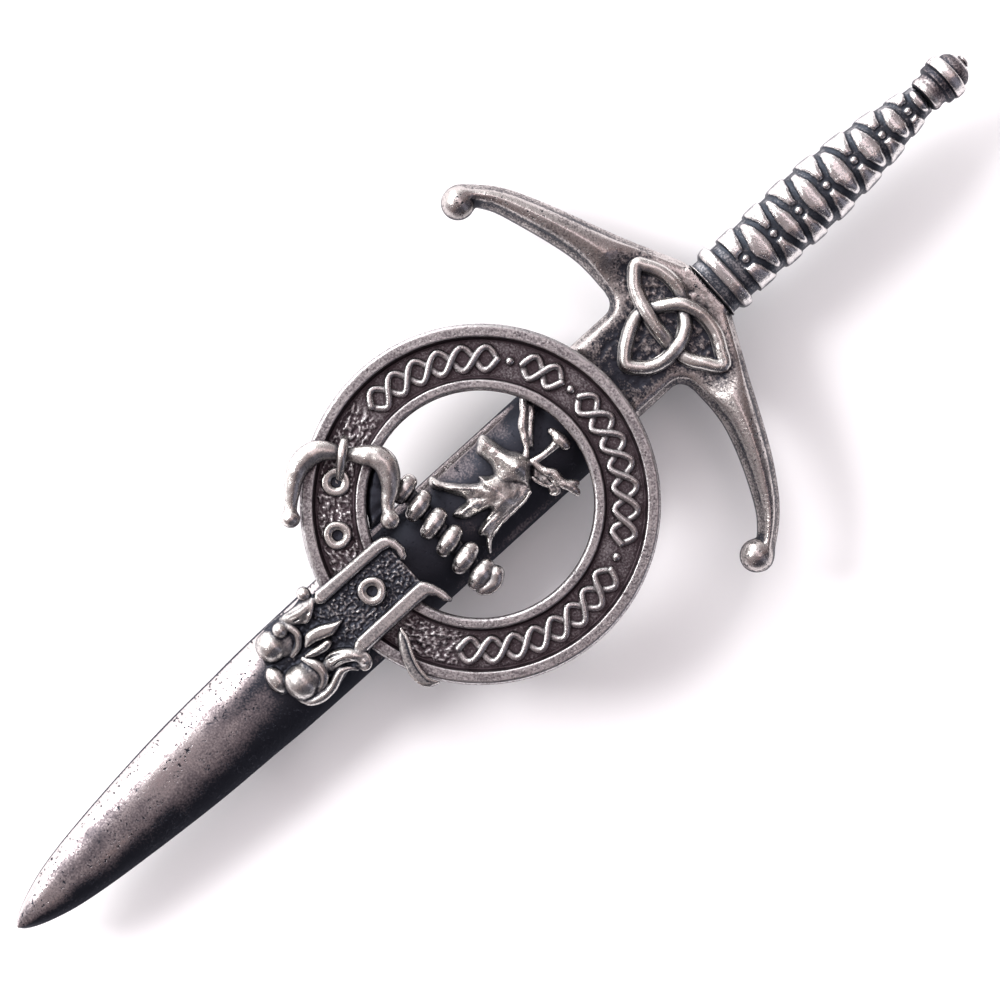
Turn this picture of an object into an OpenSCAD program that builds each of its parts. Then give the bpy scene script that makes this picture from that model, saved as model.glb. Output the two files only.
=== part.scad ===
// Kilt pin in the form of a sword with a buckled strap ring and a stag's head.
// It lies on its brooch pin, front face up (+Z), hilt towards +Y, point towards -Y.
// All sizes are in millimetres. Tables hold shares of the named sizes.

/* [Blade] */
// Length of the blade from its point to the block of the guard
blade_l = 59; // [50:1:70]
// Width of the blade at the guard
blade_w = 7.8; // [6.4:0.1:9]
// Thickness of the blade along its flat middle
blade_t = 2; // [1.6:0.1:2.6]
// Width of the flat middle of the blade's front
flat_w = 3.4; // [2.4:0.1:4.2]
// Thickness of the blade at its edges
edge_t = 0.7; // [0.4:0.1:1]
// Sideways lean of the point
tip_lean = 0.3; // [0:0.05:0.6]

/* [Guard] */
// Distance between the middles of the two ball ends
guard_span = 34.1; // [30:0.5:38]
// Height of the guard from the middle of the knot to the collar
guard_up = 4.2; // [3.8:0.1:5]
// Drop of the right ball below the middle of the knot
ball_drop = 6.5; // [5.5:0.1:7.5]
// How much higher the left ball sits
left_lift = 1.2; // [0:0.1:1.6]
// Radius of the ball ends
ball_r = 1.3; // [1:0.05:1.35]
// Sideways place of the guard's middle on the sword
guard_x = -0.3; // [-0.4:0.05:0]
// Rise of the arms' rounded crown above the flat field of the knot
crown_h = 0.75; // [0.4:0.05:1.1]
// Length of the block below the middle of the knot
block_l = 6.5; // [6:0.1:8]
// Width of the block
block_w = 7.2; // [6:0.1:8]
// Radius of the fillets between the block and the arms
block_fillet = 0.8; // [0.4:0.1:1.2]

/* [Knot] */
// Width of the knot between its left and right points
knot_w = 10.8; // [9.5:0.1:11.4]
// Height of the knot from its lower point to its top
knot_h = 7.6; // [6.8:0.1:8]
// Width of the knot's strand
knot_wire = 0.86; // [0.7:0.02:1]
// Rise of the strand where it passes over
knot_rise = 0.34; // [0.2:0.02:0.5]

/* [Grip] */
// Length of the grip between guard and pommel
grip_l = 21.1; // [18:0.5:26]
// Greatest width of the grip
grip_w = 5.2; // [4.4:0.1:6]
// Greatest thickness of the grip
grip_t = 3.5; // [3.3:0.1:4.2]
// Rise of the lozenges above the grip's core
lozenge_h = 0.42; // [0.3:0.02:0.6]
// Radius of the studs between the lozenges
stud_r = 0.34; // [0.24:0.02:0.42]
// Squareness of the grip's section: 2 is round
grip_boxy = 2.3; // [2:0.1:3]

/* [Pommel] */
// Length of the pommel
pommel_l = 4.2; // [3.6:0.1:5]
// Radius of the pommel's disc
pommel_r = 1.8; // [1.5:0.05:2.2]

/* [Strap ring] */
// Outer diameter of the strap ring
ring_d = 26.4; // [24:0.2:29]
// Sideways place of the ring's centre on the sword
ring_x = 0.2; // [0:0.05:0.4]
// Width of the strap that forms the ring
strap_w = 4.9; // [4.2:0.1:5.4]
// Thickness of the ring
ring_t = 2; // [1.6:0.1:2.6]
// Width of the ring's outer rim
outer_rim = 1; // [0.7:0.05:1.2]
// Width of the ring's inner rim
inner_rim = 0.85; // [0.6:0.05:1]
// Depth of the channel between the rims
channel_h = 0.7; // [0.5:0.05:0.9]
// How far the ring laps over the block of the guard
ring_lap = 0.7; // [0.4:0.1:1]
// Width of the strands in the ring's plait
plait_wire = 0.5; // [0.4:0.02:0.6]
// Radius of the pellets between the plaits
pellet_r = 0.34; // [0.25:0.01:0.4]

/* [Buckle and tail] */
// Thickest radius of the buckle's wire
buckle_r = 0.98; // [0.8:0.02:1.1]
// Radius of the buckle's prong
prong_r = 0.3; // [0.24:0.02:0.36]
// Outer radius of the eyelets
eyelet_r = 1.12; // [0.95:0.01:1.15]
// Radius of the holes in the eyelets
eyelet_hole = 0.4; // [0.3:0.02:0.5]
// Height of the eyelets above the strap
eyelet_h = 0.62; // [0.5:0.02:0.8]
// Angle at which the prong's eyelet sits on the ring, from +X
prong_eyelet_a = 219; // [216:1:222]
// Angle at which the next eyelet sits on the ring, from +X
next_eyelet_a = 240; // [236:1:241]
// Width of the hanging tail
tail_w = 5.7; // [5.3:0.1:6.2]
// Thickness of the tail between its raised edges
tail_t = 0.5; // [0.4:0.05:0.7]
// Width of the tail's raised edges
tail_edge_w = 1; // [0.8:0.05:1.1]
// Rise of the tail's raised edges
tail_edge_h = 0.6; // [0.4:0.05:0.8]
// How far the tail reaches into the ring's hole
tail_tuck = 1.2; // [0.9:0.1:1.5]
// Sideways place of the tail's middle from the ring's centre
tail_shift = -0.45; // [-0.8:0.05:0]
// Length of the scrolled tip
tip_l = 7.1; // [6.4:0.1:8]
// Thickness of the scrolled tip's base
tip_base_t = 1.7; // [1.4:0.1:2]
// Width of the strap's fold beside the tail
keeper_w = 1.2; // [1:0.05:1.4]

/* [Crest] */
// Thickness of the wreath
wreath_h = 1.94; // [1.4:0.02:1.94]
// Length of the wreath
wreath_l = 10.9; // [9.8:0.1:11.2]
// Height of the stag's head above the blade
head_h = 2.3; // [1.8:0.05:2.8]

/* [Brooch pin] */
// Radius of the brooch pin's stem
stem_r = 0.45; // [0.35:0.01:0.55]
// Room for cloth between the stem and the sword's back
cloth_gap = 4.2; // [4.1:0.1:5]
// Length of the stem between the hinge block and its point
stem_l = 47; // [40:1:50]
// Width of the hinge block
hinge_w = 5; // [4:0.1:6]
// Length of the hinge block
hinge_l = 3.2; // [2.6:0.1:4]
// Width of the catch
catch_w = 3.6; // [3:0.1:4.4]
// Length of the catch
catch_l = 3; // [2.4:0.1:3.6]
// Thickness of the catch's walls
catch_t = 0.5; // [0.4:0.05:0.7]

/* [Fits] */
// Gap between pieces that lie close together
gap = 0.05; // [0.03:0.01:0.1]

/* [Hidden] */

pewter = [0.62, 0.61, 0.6];
bright = [0.78, 0.77, 0.75];
dark = [0.33, 0.33, 0.36];

// Facets of the exact round shapes and of the small beads that strands are made of
fine = 96;
bead_fn = 8;
slab = 0.02;

// Places along the sword
total_l = blade_l + block_l + guard_up + grip_l + pommel_l;
point_y = -total_l / 2;
block_y = point_y + blade_l;
knot_y = block_y + block_l;
collar_y = knot_y + guard_up;
pommel_y = collar_y + grip_l;

// Heights above the surface that the pin lies on
stem_z = catch_t + stem_r;
back_z = stem_z + stem_r + cloth_gap;
seat_z = back_z + blade_t;
rim_z = seat_z + ring_t;
floor_z = rim_z - channel_h;
tail_z = rim_z + tail_t;
pommel_z = back_z + pommel_r;

// The strap ring and what is placed by it
ring_r = ring_d / 2;
hole_r = ring_r - strap_w;
ring_y = block_y + ring_lap - ring_r;
channel_in = hole_r + inner_rim;
channel_out = ring_r - outer_rim;
channel_r = (channel_in + channel_out) / 2;
tail_x = ring_x + tail_shift;
tail_top = ring_y - hole_r + tail_tuck;
tail_end = ring_y - ring_r - gap;

// Smooth curve through points of any length, open or looped
function turn(v, i, n, loop) = loop ? v[(i + n) % n] : v[max(0, min(n - 1, i))];
function between(a, b, c, d, t) =
    ((2 * b) + (c - a) * t + (2 * a - 5 * b + 4 * c - d) * t * t
    + (3 * b - a - 3 * c + d) * t * t * t) / 2;
function smooth(v, steps, loop = false) = let (n = len(v), last = loop ? n - 1 : n - 2) concat(
    [for (i = [0:last]) for (k = [0:steps - 1]) between(
        turn(v, i - 1, n, loop), turn(v, i, n, loop),
        turn(v, i + 1, n, loop), turn(v, i + 2, n, loop), k / steps)],
    [loop ? v[0] : v[n - 1]]);

// Point [x, y, z, radius] from shares of a size, measured from a place
function at(place, size, row) = [
    place[0] + size * row[0], place[1] + size * row[1], place[2] + row[2], row[3]];

module bead(p, sides = bead_fn) {
    translate([p[0], p[1], p[2]]) sphere(r = p[3], $fn = sides);
}

module strand(points, sides = bead_fn) {
    for (i = [0:len(points) - 2]) hull() {
        bead(points[i], sides);
        bead(points[i + 1], sides);
    }
}

// Strand as one ridge that stands on a flat base
module ridge(points, base) {
    section = [[-1, 0], [-0.9, 0.35], [0, 1], [0.9, 0.35], [1, 0]];
    sides = len(section);
    n = len(points);
    rings = [for (i = [0:n - 1])
        let (p = points[i], d = points[min(i + 1, n - 1)] - points[max(i - 1, 0)], a = atan2(d[1], d[0]))
        each [for (s = section) [
            p[0] + p[3] * s[0] * sin(a), p[1] - p[3] * s[0] * cos(a),
            s[1] == 0 ? base : p[2] + p[3] * s[1]]]];
    walls = [for (i = [0:n - 2]) for (k = [0:sides - 1]) let (m = (k + 1) % sides, b = i * sides)
        each [[b + k, b + sides + k, b + m], [b + m, b + sides + k, b + sides + m]]];
    caps = [[for (k = [0:sides - 1]) k], [for (k = [sides - 1:-1:0]) (n - 1) * sides + k]];
    polyhedron(rings, concat(walls, caps));
}

// Small dome on a flat base
module domed(r, h) {
    hull() {
        cylinder(r = r, h = h * 0.35, $fn = 8);
        cylinder(r = r * 0.6, h = h, $fn = 8);
    }
}

// Keeps only what is above a height, so that the piece lies flat on it
module seated(z) {
    reach = 2 * total_l;
    intersection() {
        children();
        translate([-reach / 2, -reach / 2, z]) cube(reach);
    }
}

// Upright outline with a flat foot and a rounded top, between two points of the plan
function arch(start, end, side, top, boxy) = let (
        turns = 8,
        middle = (start + end) / 2,
        half = (start - end) / 2) concat(
    [[start[0], start[1], back_z]],
    [for (i = [0:turns]) let (
            a = 180 * i / turns,
            c = sign(cos(a)) * pow(abs(cos(a)), 2 / boxy),
            s = pow(abs(sin(a)), 2 / boxy)) [
        middle[0] + half[0] * c, middle[1] + half[1] * c, back_z + side + (top - side) * s]],
    [[end[0], end[1], back_z]]);

// Solid through a row of outlines, each turning left as seen along the row
module loft(rings) {
    n = len(rings[0]);
    m = len(rings);
    walls = [for (j = [0:m - 2]) for (i = [0:n - 1]) let (k = (i + 1) % n)
        each [[j * n + i, j * n + k, (j + 1) * n + i], [j * n + k, (j + 1) * n + k, (j + 1) * n + i]]];
    caps = [for (i = [1:n - 2]) each [[0, i + 1, i], [(m - 1) * n, (m - 1) * n + i, (m - 1) * n + i + 1]]];
    polyhedron([for (ring = rings) each ring], concat(walls, caps));
}

// Blade: half width and thickness along its length, from the guard to the point
BLADE = [
    // distance, half width, thickness
    [0, 0.5, 1],
    [0.48, 0.498, 1],
    [0.62, 0.468, 0.98],
    [0.705, 0.44, 0.95],
    [0.79, 0.386, 0.9],
    [0.873, 0.316, 0.82],
    [0.924, 0.252, 0.75],
    [0.958, 0.18, 0.66],
    [0.98, 0.115, 0.56],
    [0.993, 0.06, 0.45],
    [1, 0.012, 0.36],
];

function blade_ring(row) = let (
        y = block_y - blade_l * row[0],
        x0 = tip_lean * pow(row[0], 6),
        w = blade_w * row[1],
        f = min(flat_w / 2, w * 0.5),
        t = blade_t * row[2],
        e = min(edge_t, t * 0.6),
        bow = (t - e) * 0.62) [
    [x0 - w, y, back_z], [x0 - w, y, back_z + e],
    [x0 - (w + f) / 2, y, back_z + e + bow], [x0 - f, y, back_z + t],
    [x0 + f, y, back_z + t], [x0 + (w + f) / 2, y, back_z + e + bow],
    [x0 + w, y, back_z + e], [x0 + w, y, back_z]];

module blade() {
    color(pewter) loft([for (row = BLADE) blade_ring(row)]);
}

// Guard: one arm from the middle outwards, as shares of half the span and of the drop from the collar
ARM = [
    // lower out, lower down, upper out, upper down, crown, boxiness
    [0, 0.5, 0, 0, 0, 8],
    [0.15, 0.5, 0.149, 0, 0, 8],
    [0.25, 0.5, 0.238, 0.07, 0, 7],
    [0.355, 0.487, 0.36, 0.157, 0, 5],
    [0.41, 0.49, 0.43, 0.213, 0.6, 3.2],
    [0.506, 0.514, 0.506, 0.268, 0.95, 2.6],
    [0.625, 0.565, 0.625, 0.357, 1, 2.4],
    [0.744, 0.645, 0.756, 0.463, 0.88, 2.4],
    [0.863, 0.743, 0.887, 0.593, 0.62, 2.4],
    [0.925, 0.81, 0.975, 0.7, 0.4, 2.4],
    [0.955, 0.93, 1.04, 0.9, 0.3, 2.4],
];

function arm_point(side, out, down) = let (lift = side < 0 ? left_lift : 0) [
    guard_x + side * out * guard_span / 2,
    knot_y + guard_up - down * (guard_up + ball_drop) + lift * pow(down, 4)];

function arm_ring(side, row) = arch(
    arm_point(side, row[0], row[1]), arm_point(side, row[2], row[3]),
    blade_t * 0.62, blade_t + crown_h * row[4], row[5]);

// Both arms in one, from the left ball to the right one
module arms() {
    last = len(ARM) - 1;
    loft(concat(
        [for (i = [last:-1:1]) arm_ring(-1, ARM[i])],
        [for (i = [0:last]) arm_ring(1, ARM[i])]));
    for (side = [-1, 1]) {
        end = arm_point(side, 1, 1);
        translate([end[0], end[1], back_z + ball_r]) sphere(ball_r, $fn = 18);
    }
}

module block() {
    lower_y = knot_y + guard_up - 0.5 * (guard_up + ball_drop);
    half = block_w / 2;
    translate([guard_x, 0, back_z]) linear_extrude(blade_t) {
        translate([-half, block_y]) square([block_w, lower_y - block_y + block_fillet]);
        for (side = [-1, 1]) difference() {
            translate([side * (half + block_fillet / 2), lower_y]) square(block_fillet, center = true);
            translate([side * (half + block_fillet), lower_y - block_fillet / 2]) circle(block_fillet, $fn = 24);
        }
    }
}

module guard() {
    color(pewter) {
        arms();
        block();
    }
}

// Knot: one looped strand through three points, as shares of its width and height from its lower point
KNOT = [
    // across, up, over (1) or under (-1)
    [0, 0, 0],
    [-0.13, 0.18, 0],
    [-0.205, 0.44, -1],
    [-0.175, 0.62, 0],
    [-0.1, 0.83, 1],
    [0.055, 0.985, 1],
    [0.27, 0.975, 0],
    [0.5, 0.77, 0],
    [0.39, 0.6, 0],
    [0.235, 0.52, -1],
    [0.03, 0.5, 0],
    [-0.16, 0.52, 1],
    [-0.38, 0.63, 0],
    [-0.5, 0.77, 0],
    [-0.34, 0.96, 0],
    [-0.13, 0.985, -1],
    [0.02, 0.85, -1],
    [0.15, 0.7, 0],
    [0.205, 0.5, 1],
    [0.14, 0.2, 0],
];

module trinity_knot() {
    r = knot_wire / 2;
    low = knot_y - 0.62 * knot_h;
    path = [for (row = KNOT) [
        guard_x + (knot_w - knot_wire) * row[0], low + (knot_h - knot_wire) * row[1] + r,
        seat_z + r * 0.75 + knot_rise * row[2], r]];
    color(bright) seated(seat_z) strand(smooth(path, 3, loop = true), 6);
}

// Grip: half width and thickness from the collar to the pommel
GRIP = [
    // distance, width, thickness
    [0.09, 0.88, 0.9],
    [0.3, 0.97, 0.96],
    [0.5, 1, 1],
    [0.74, 0.84, 0.9],
    [0.86, 0.68, 0.82],
    [1, 0.54, 0.74],
];

// Distance along the grip, and size, of each lozenge of the wrap
LOZENGE = [
    // distance, length
    [0.235, 0.112],
    [0.35, 0.118],
    [0.48, 0.122],
    [0.608, 0.122],
    [0.74, 0.12],
    [0.863, 0.112],
    [0.965, 0.06],
];

function grip_y(share) = collar_y + gap + (grip_l - 2 * gap) * share;
function grip_half(share) = lookup(share, [for (row = GRIP) [row[0], row[1] * grip_w / 2]]) - lozenge_h;
function grip_top(share) = lookup(share, [for (row = GRIP) [row[0], row[2] * grip_t]]) - lozenge_h;

function grip_ring(share, w, t) = arch([w, grip_y(share)], [-w, grip_y(share)], t * 0.35, t, grip_boxy);

// Collar between the guard and the grip: start and end along the grip, width and height
COLLAR = [
    // start, end, width, height
    [0, 0.044, 1, 1],
    [0.03, 0.1, 0.95, 0.9],
    [0.048, 0.088, 1.03, 1.06],
];

module collar() {
    w = grip_half(GRIP[0][0]) + lozenge_h * 0.7;
    t = grip_top(GRIP[0][0]);
    for (row = COLLAR) loft([for (i = [0, 1]) grip_ring(row[i], w * row[2], t * row[3])]);
}

// Convex pillow with a plan that changes with height: rows of [height, share across, share along]
module pillow(plan, levels) {
    hull() for (level = levels) translate([0, 0, level[0]]) linear_extrude(slab)
        polygon([for (p = plan) [p[0] * level[1], p[1] * level[2]]]);
}

// Lozenge across the grip
module lozenge(share, length) {
    w = grip_half(share) + lozenge_h;
    t = grip_top(share);
    half = grip_l * length * 0.44;
    plan = [[-w, 0], [-w * 0.45, -half], [w * 0.45, -half], [w, 0], [w * 0.45, half], [-w * 0.45, half]];
    translate([0, grip_y(share), back_z])
        pillow(plan, [[t * 0.4, 1, 0.5], [t * 0.82, 0.92, 1], [t + lozenge_h, 0.5, 0.7]]);
}

// Half lozenge at one side of the grip
module half_lozenge(share, length, side) {
    w = grip_half(share) + lozenge_h;
    t = grip_top(share);
    half = grip_l * length * 0.36;
    translate([0, grip_y(share), back_z]) hull() {
        translate([0, 0, t * 0.3]) linear_extrude(slab)
            polygon([[side * w, -half], [side * w, half], [side * w * 0.5, 0]]);
        translate([0, 0, t * 0.86]) linear_extrude(slab)
            polygon([[side * w * 0.86, -half * 0.5], [side * w * 0.86, half * 0.5], [side * w * 0.45, 0]]);
    }
}

module stud(share) {
    translate([0, grip_y(share), back_z + grip_top(share) - stud_r * 0.3]) domed(stud_r, stud_r * 1.3);
}

module grip() {
    color(pewter) seated(back_z) {
        collar();
        loft([for (row = GRIP) grip_ring(row[0], grip_half(row[0]), grip_top(row[0]))]);
        for (row = LOZENGE) lozenge(row[0], row[1]);
        stud(LOZENGE[0][0] - 0.08);
        for (i = [0:len(LOZENGE) - 2]) {
            share = (LOZENGE[i][0] + LOZENGE[i + 1][0]) / 2;
            stud(share);
            for (side = [-1, 1]) half_lozenge(share, LOZENGE[i][1], side);
        }
    }
}

// Pommel: turned about the sword's length
module pommel() {
    neck_r = grip_w * 0.27;
    neck_l = pommel_l * 0.36;
    disc_l = pommel_l * 0.24;
    dome_r = pommel_r * 0.78;
    nub_r = pommel_r * 0.28;
    color(pewter) translate([0, pommel_y, pommel_z]) rotate([-90, 0, 0]) rotate_extrude($fn = fine) {
        square([neck_r, neck_l]);
        translate([0, neck_l]) square([pommel_r - disc_l / 2, disc_l]);
        translate([pommel_r - disc_l / 2, neck_l + disc_l / 2]) circle(disc_l / 2, $fn = 32);
        intersection() {
            translate([0, pommel_l - nub_r - dome_r]) circle(dome_r, $fn = 64);
            translate([0, neck_l]) square(pommel_l);
        }
        intersection() {
            translate([0, pommel_l - nub_r]) circle(nub_r, $fn = 32);
            translate([0, neck_l]) square(pommel_l);
        }
    }
}

// Strap ring: flat back, two rims and a channel between them
module strap_ring() {
    bevel = 0.2 * ring_t;
    draft = 0.2 * channel_h;
    top = ring_t;
    color(pewter) translate([ring_x, ring_y, seat_z]) rotate_extrude($fn = fine) polygon([
        [hole_r, 0], [ring_r, 0], [ring_r, top - bevel], [ring_r - bevel / 2, top],
        [channel_out, top], [channel_out - draft, top - channel_h],
        [channel_in + draft, top - channel_h], [channel_in, top],
        [hole_r + bevel / 2, top], [hole_r, top - bevel]]);
}

// Plait: groups of two crossing strands in the channel, with a pellet after each group but the last
PLAIT = [
    // start angle, end angle, crossings
    [186, 131, 6],
    [121, 104, 2],
    [95, 32, 7],
    [21, -51, 8],
];

function plait_point(row, t, side) = let (
        a = row[0] + (row[1] - row[0]) * t,
        phase = 180 * row[2] * t,
        wave = (channel_out - channel_in) * 0.27,
        r = channel_r + side * wave * sin(phase)) [
    ring_x + r * cos(a), ring_y + r * sin(a),
    floor_z + plait_wire * (0.34 + 0.2 * side * cos(phase)), plait_wire / 2];

module plait_band() {
    steps = 4;
    color(bright) {
        for (row = PLAIT) {
            for (side = [-1, 1])
                ridge([for (i = [0:steps * row[2]]) plait_point(row, i / (steps * row[2]), side)], floor_z);
            for (end = [0, 1]) plait_end(plait_point(row, end, 1));
        }
        for (i = [0:len(PLAIT) - 2]) rotate_about_ring((PLAIT[i][1] + PLAIT[i + 1][0]) / 2)
            translate([channel_r, 0, floor_z]) domed(pellet_r, pellet_r * 1.1);
    }
}

// Rounded end where the two strands of a group meet
module plait_end(p) {
    translate([p[0], p[1], floor_z]) domed(plait_wire * 0.56, p[2] + plait_wire * 0.45 - floor_z);
}

module rotate_about_ring(a) {
    translate([ring_x, ring_y, 0]) rotate(a) children();
}

// Buckle: bent wire from the ball by the wreath to the ball below, as shares of the ring's radius
BUCKLE = [
    // across, up, wire as a share of its thickest radius
    [-0.27, -0.4, 0.66],
    [-0.315, -0.378, 0.56],
    [-0.365, -0.335, 0.66],
    [-0.435, -0.275, 0.86],
    [-0.513, -0.238, 1],
    [-0.61, -0.262, 0.84],
    [-0.7, -0.342, 0.52],
    [-0.775, -0.394, 0.66],
    [-0.832, -0.461, 0.76],
    [-0.852, -0.558, 0.78],
    [-0.815, -0.647, 0.72],
    [-0.737, -0.737, 0.62],
    [-0.678, -0.8, 0.5],
    [-0.65, -0.83, 0.74],
];

function buckle_point(row) = let (r = buckle_r * row[2]) [
    ring_x + ring_r * row[0], ring_y + ring_r * row[1], rim_z + r * 0.5, r];

module buckle_frame() {
    path = [for (row = BUCKLE) buckle_point(row)];
    color(bright) seated(rim_z) {
        strand(smooth(path, 2));
        bead(path[0]);
        bead(path[len(path) - 1]);
    }
}

// Prong: a round bar from behind the buckle, over its pinch and down to the first eyelet
module buckle_prong() {
    pinch = buckle_point(BUCKLE[6]);
    over_z = rim_z + pinch[3] * 1.5 + prong_r + gap;
    tip_z = floor_z + eyelet_h + gap + prong_r * 2.2;
    centre = [ring_x, ring_y, 0];
    path = [
        at(centre, ring_r, [-0.745, -0.3, rim_z + prong_r * 1.4, prong_r]),
        at(centre, ring_r, [-0.725, -0.318, over_z - prong_r * 0.4, prong_r]),
        at(centre, ring_r, [-0.697, -0.352, over_z + prong_r * 0.2, prong_r * 1.1]),
        at(centre, ring_r, [-0.668, -0.39, over_z - prong_r * 0.2, prong_r]),
        at(centre, ring_r, [-0.625, -0.458, tip_z, prong_r * 0.85]),
    ];
    color(bright) seated(rim_z + gap) strand(smooth(path, 2));
}

// Eyelet: a raised round lip round a small hole, standing on a surface
module eyelet(x, y, z) {
    lip = (eyelet_r - eyelet_hole) / 2;
    color(bright) translate([x, y, z]) rotate_extrude($fn = fine) {
        translate([eyelet_hole, 0]) square([2 * lip, eyelet_h - lip]);
        translate([eyelet_hole + lip, eyelet_h - lip]) circle(lip, $fn = 32);
    }
}

module eyelet_in_channel(angle) {
    eyelet(ring_x + channel_r * cos(angle), ring_y + channel_r * sin(angle), floor_z);
}

module eyelet_buckle() {
    eyelet_in_channel(prong_eyelet_a);
}

module eyelet_strap() {
    eyelet_in_channel(next_eyelet_a);
}

module eyelet_tail() {
    eyelet(tail_x - 0.03 * tail_w, (tail_top + tail_end) / 2 + 0.02 * tail_w, tail_z);
}

// Raised edge of the tail, hooked to the right where the strap comes over the ring
module tail_edge(x, hook) {
    r = tail_edge_w / 2;
    flat = tail_edge_h / tail_edge_w;
    path = [
        [x + hook, tail_top + r * 0.7, 0, r * 0.72],
        [x + hook * 0.45, tail_top + r * 0.5, 0, r * 0.9],
        [x + r * 0.35, tail_top - r * 0.1, 0, r],
        [x, tail_top - r * 1.3, 0, r],
        [x, (tail_top + tail_end) / 2, 0, r],
        [x, tail_end + r, 0, r],
    ];
    translate([0, 0, tail_z - r * 0.2]) scale([1, 1, 1.6 * flat]) strand(smooth(path, 2));
}

module strap_tail() {
    half = tail_w / 2;
    color(dark) intersection() {
        union() {
            translate([tail_x - half, tail_end, rim_z]) cube([tail_w, tail_top - tail_end, tail_t]);
            tail_edge(tail_x - half + tail_edge_w / 2, tail_w * 0.36);
            tail_edge(tail_x + half - tail_edge_w / 2, tail_w * 0.33);
        }
        translate([tail_x - tail_w, tail_end, rim_z]) cube([2 * tail_w, 2 * ring_r, 2 * ring_t]);
    }
}

// Tip: scrolls and a bud, as shares of its length from the middle of the tail's end
// across, down, height, radius
LEFT_HORN = [
    [-0.475, -0.09, 0.34, 0.066],
    [-0.4, -0.1, 0.35, 0.05],
    [-0.345, -0.2, 0.33, 0.06],
    [-0.385, -0.34, 0.3, 0.065],
    [-0.43, -0.5, 0.26, 0.05],
];
RIGHT_HORN = [
    [0.5, -0.075, 0.34, 0.07],
    [0.38, -0.1, 0.35, 0.07],
    [0.29, -0.2, 0.33, 0.066],
    [0.24, -0.35, 0.3, 0.06],
];
RIGHT_RIM = [
    [0.38, -0.14, 0.3, 0.04],
    [0.41, -0.34, 0.26, 0.035],
    [0.47, -0.53, 0.25, 0.033],
    [0.475, -0.7, 0.25, 0.033],
    [0.39, -0.83, 0.24, 0.033],
    [0.26, -0.88, 0.23, 0.033],
];
LEFT_CREST = [
    [-0.385, -0.56, 0.24, 0.05],
    [-0.36, -0.44, 0.27, 0.055],
    [-0.25, -0.395, 0.28, 0.055],
    [-0.12, -0.46, 0.24, 0.05],
    [-0.09, -0.58, 0.2, 0.04],
];
RIGHT_CREST = [
    [0.01, -0.53, 0.22, 0.04],
    [0.08, -0.43, 0.26, 0.05],
    [0.22, -0.4, 0.28, 0.055],
    [0.36, -0.47, 0.26, 0.05],
    [0.4, -0.6, 0.22, 0.04],
];
// across, down, height, radius
TIP_BALLS = [
    [-0.305, -0.54, 0.23, 0.1],
    [-0.27, -0.72, 0.16, 0.18],
    [0.215, -0.68, 0.15, 0.2],
    [-0.04, -0.935, 0.12, 0.085],
    [0.04, -0.935, 0.12, 0.085],
];

function tip_point(row) = [
    tail_x + tip_l * row[0], tail_end - gap + tip_l * row[1], seat_z + tip_l * row[2], tip_l * row[3]];

module tip_strand(rows, steps = 2) {
    strand(smooth([for (row = rows) tip_point(row)], steps), 6);
}

module tip_ball(row) {
    p = tip_point(row);
    translate([p[0], p[1], p[2]]) sphere(p[3], $fn = 10);
}

// Bud between the scrolls: a long leaf and two side leaves
module bud() {
    base = tip_point([-0.03, -0.46, 0.26, 0.05]);
    hull() {
        bead(tip_point([0, -0.02, 0.3, 0.02]));
        bead(tip_point([0, -0.2, 0.33, 0.07]));
        bead(base);
    }
    for (side = [-1, 1]) hull() {
        bead(tip_point([side * 0.02, -0.2, 0.27, 0.04]));
        bead(tip_point([side * 0.12, -0.32, 0.27, 0.04]));
        bead(base);
    }
}

module strap_tip() {
    color(bright) seated(seat_z) {
        hull() for (row = [[-0.4, -0.05], [0.4, -0.05], [-0.3, -0.72], [0.28, -0.72], [0, -0.9]])
            translate([tail_x + tip_l * row[0], tail_end - gap + tip_l * row[1], seat_z])
                cylinder(r = tip_l * 0.045, h = tip_base_t, $fn = 10);
        for (rows = [LEFT_HORN, RIGHT_HORN, RIGHT_RIM, LEFT_CREST, RIGHT_CREST]) tip_strand(rows);
        tip_ball(LEFT_HORN[0]);
        for (row = TIP_BALLS) tip_ball(row);
        bud();
    }
}

// Fold of the strap on the ring's outer rim, right of the tail
module strap_keeper() {
    r = keeper_w / 2;
    lift = r * 0.3;
    centre = [ring_x, ring_y, rim_z];
    path = [
        at(centre, ring_r, [0.235, -0.83, lift, r * 0.7]),
        at(centre, ring_r, [0.335, -0.88, lift, r * 0.95]),
        at(centre, ring_r, [0.45, -0.9, lift, r]),
        at(centre, ring_r, [0.545, -0.87, lift, r * 0.6]),
    ];
    color(bright) seated(rim_z) strand(smooth(path, 3));
}

// Wreath: slanting rolls side by side and a curled end
module wreath() {
    rolls = 6;
    roll_r = wreath_l / rolls * 0.38;
    reach = hole_r * 0.125;
    y = ring_y - hole_r * 0.414;
    left = ring_x - wreath_l / 2 + roll_r * 1.2;
    pitch = (wreath_l - 2.9 * roll_r) / (rolls - 0.4);
    thick = wreath_h / 2;
    color(bright) seated(seat_z) {
        for (i = [0:rolls - 1]) {
            x = left + pitch * i;
            for (half = [-1, 1]) hull() {
                translate([x, y, seat_z + thick]) scale([0.88, 1, 1]) sphere(thick, $fn = 8);
                translate([x - half * reach * 0.32, y + half * reach, seat_z + thick * 0.75])
                    sphere(roll_r * 1.05, $fn = 8);
            }
        }
        strand([
            [left, y, seat_z + thick * 0.7, thick * 0.5],
            [left + pitch * (rolls - 0.4), y, seat_z + thick * 0.7, thick * 0.5]]);
        translate([left + pitch * (rolls - 0.4), y + reach * 0.3, seat_z + thick * 0.9]) sphere(thick, $fn = 12);
    }
}

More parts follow.
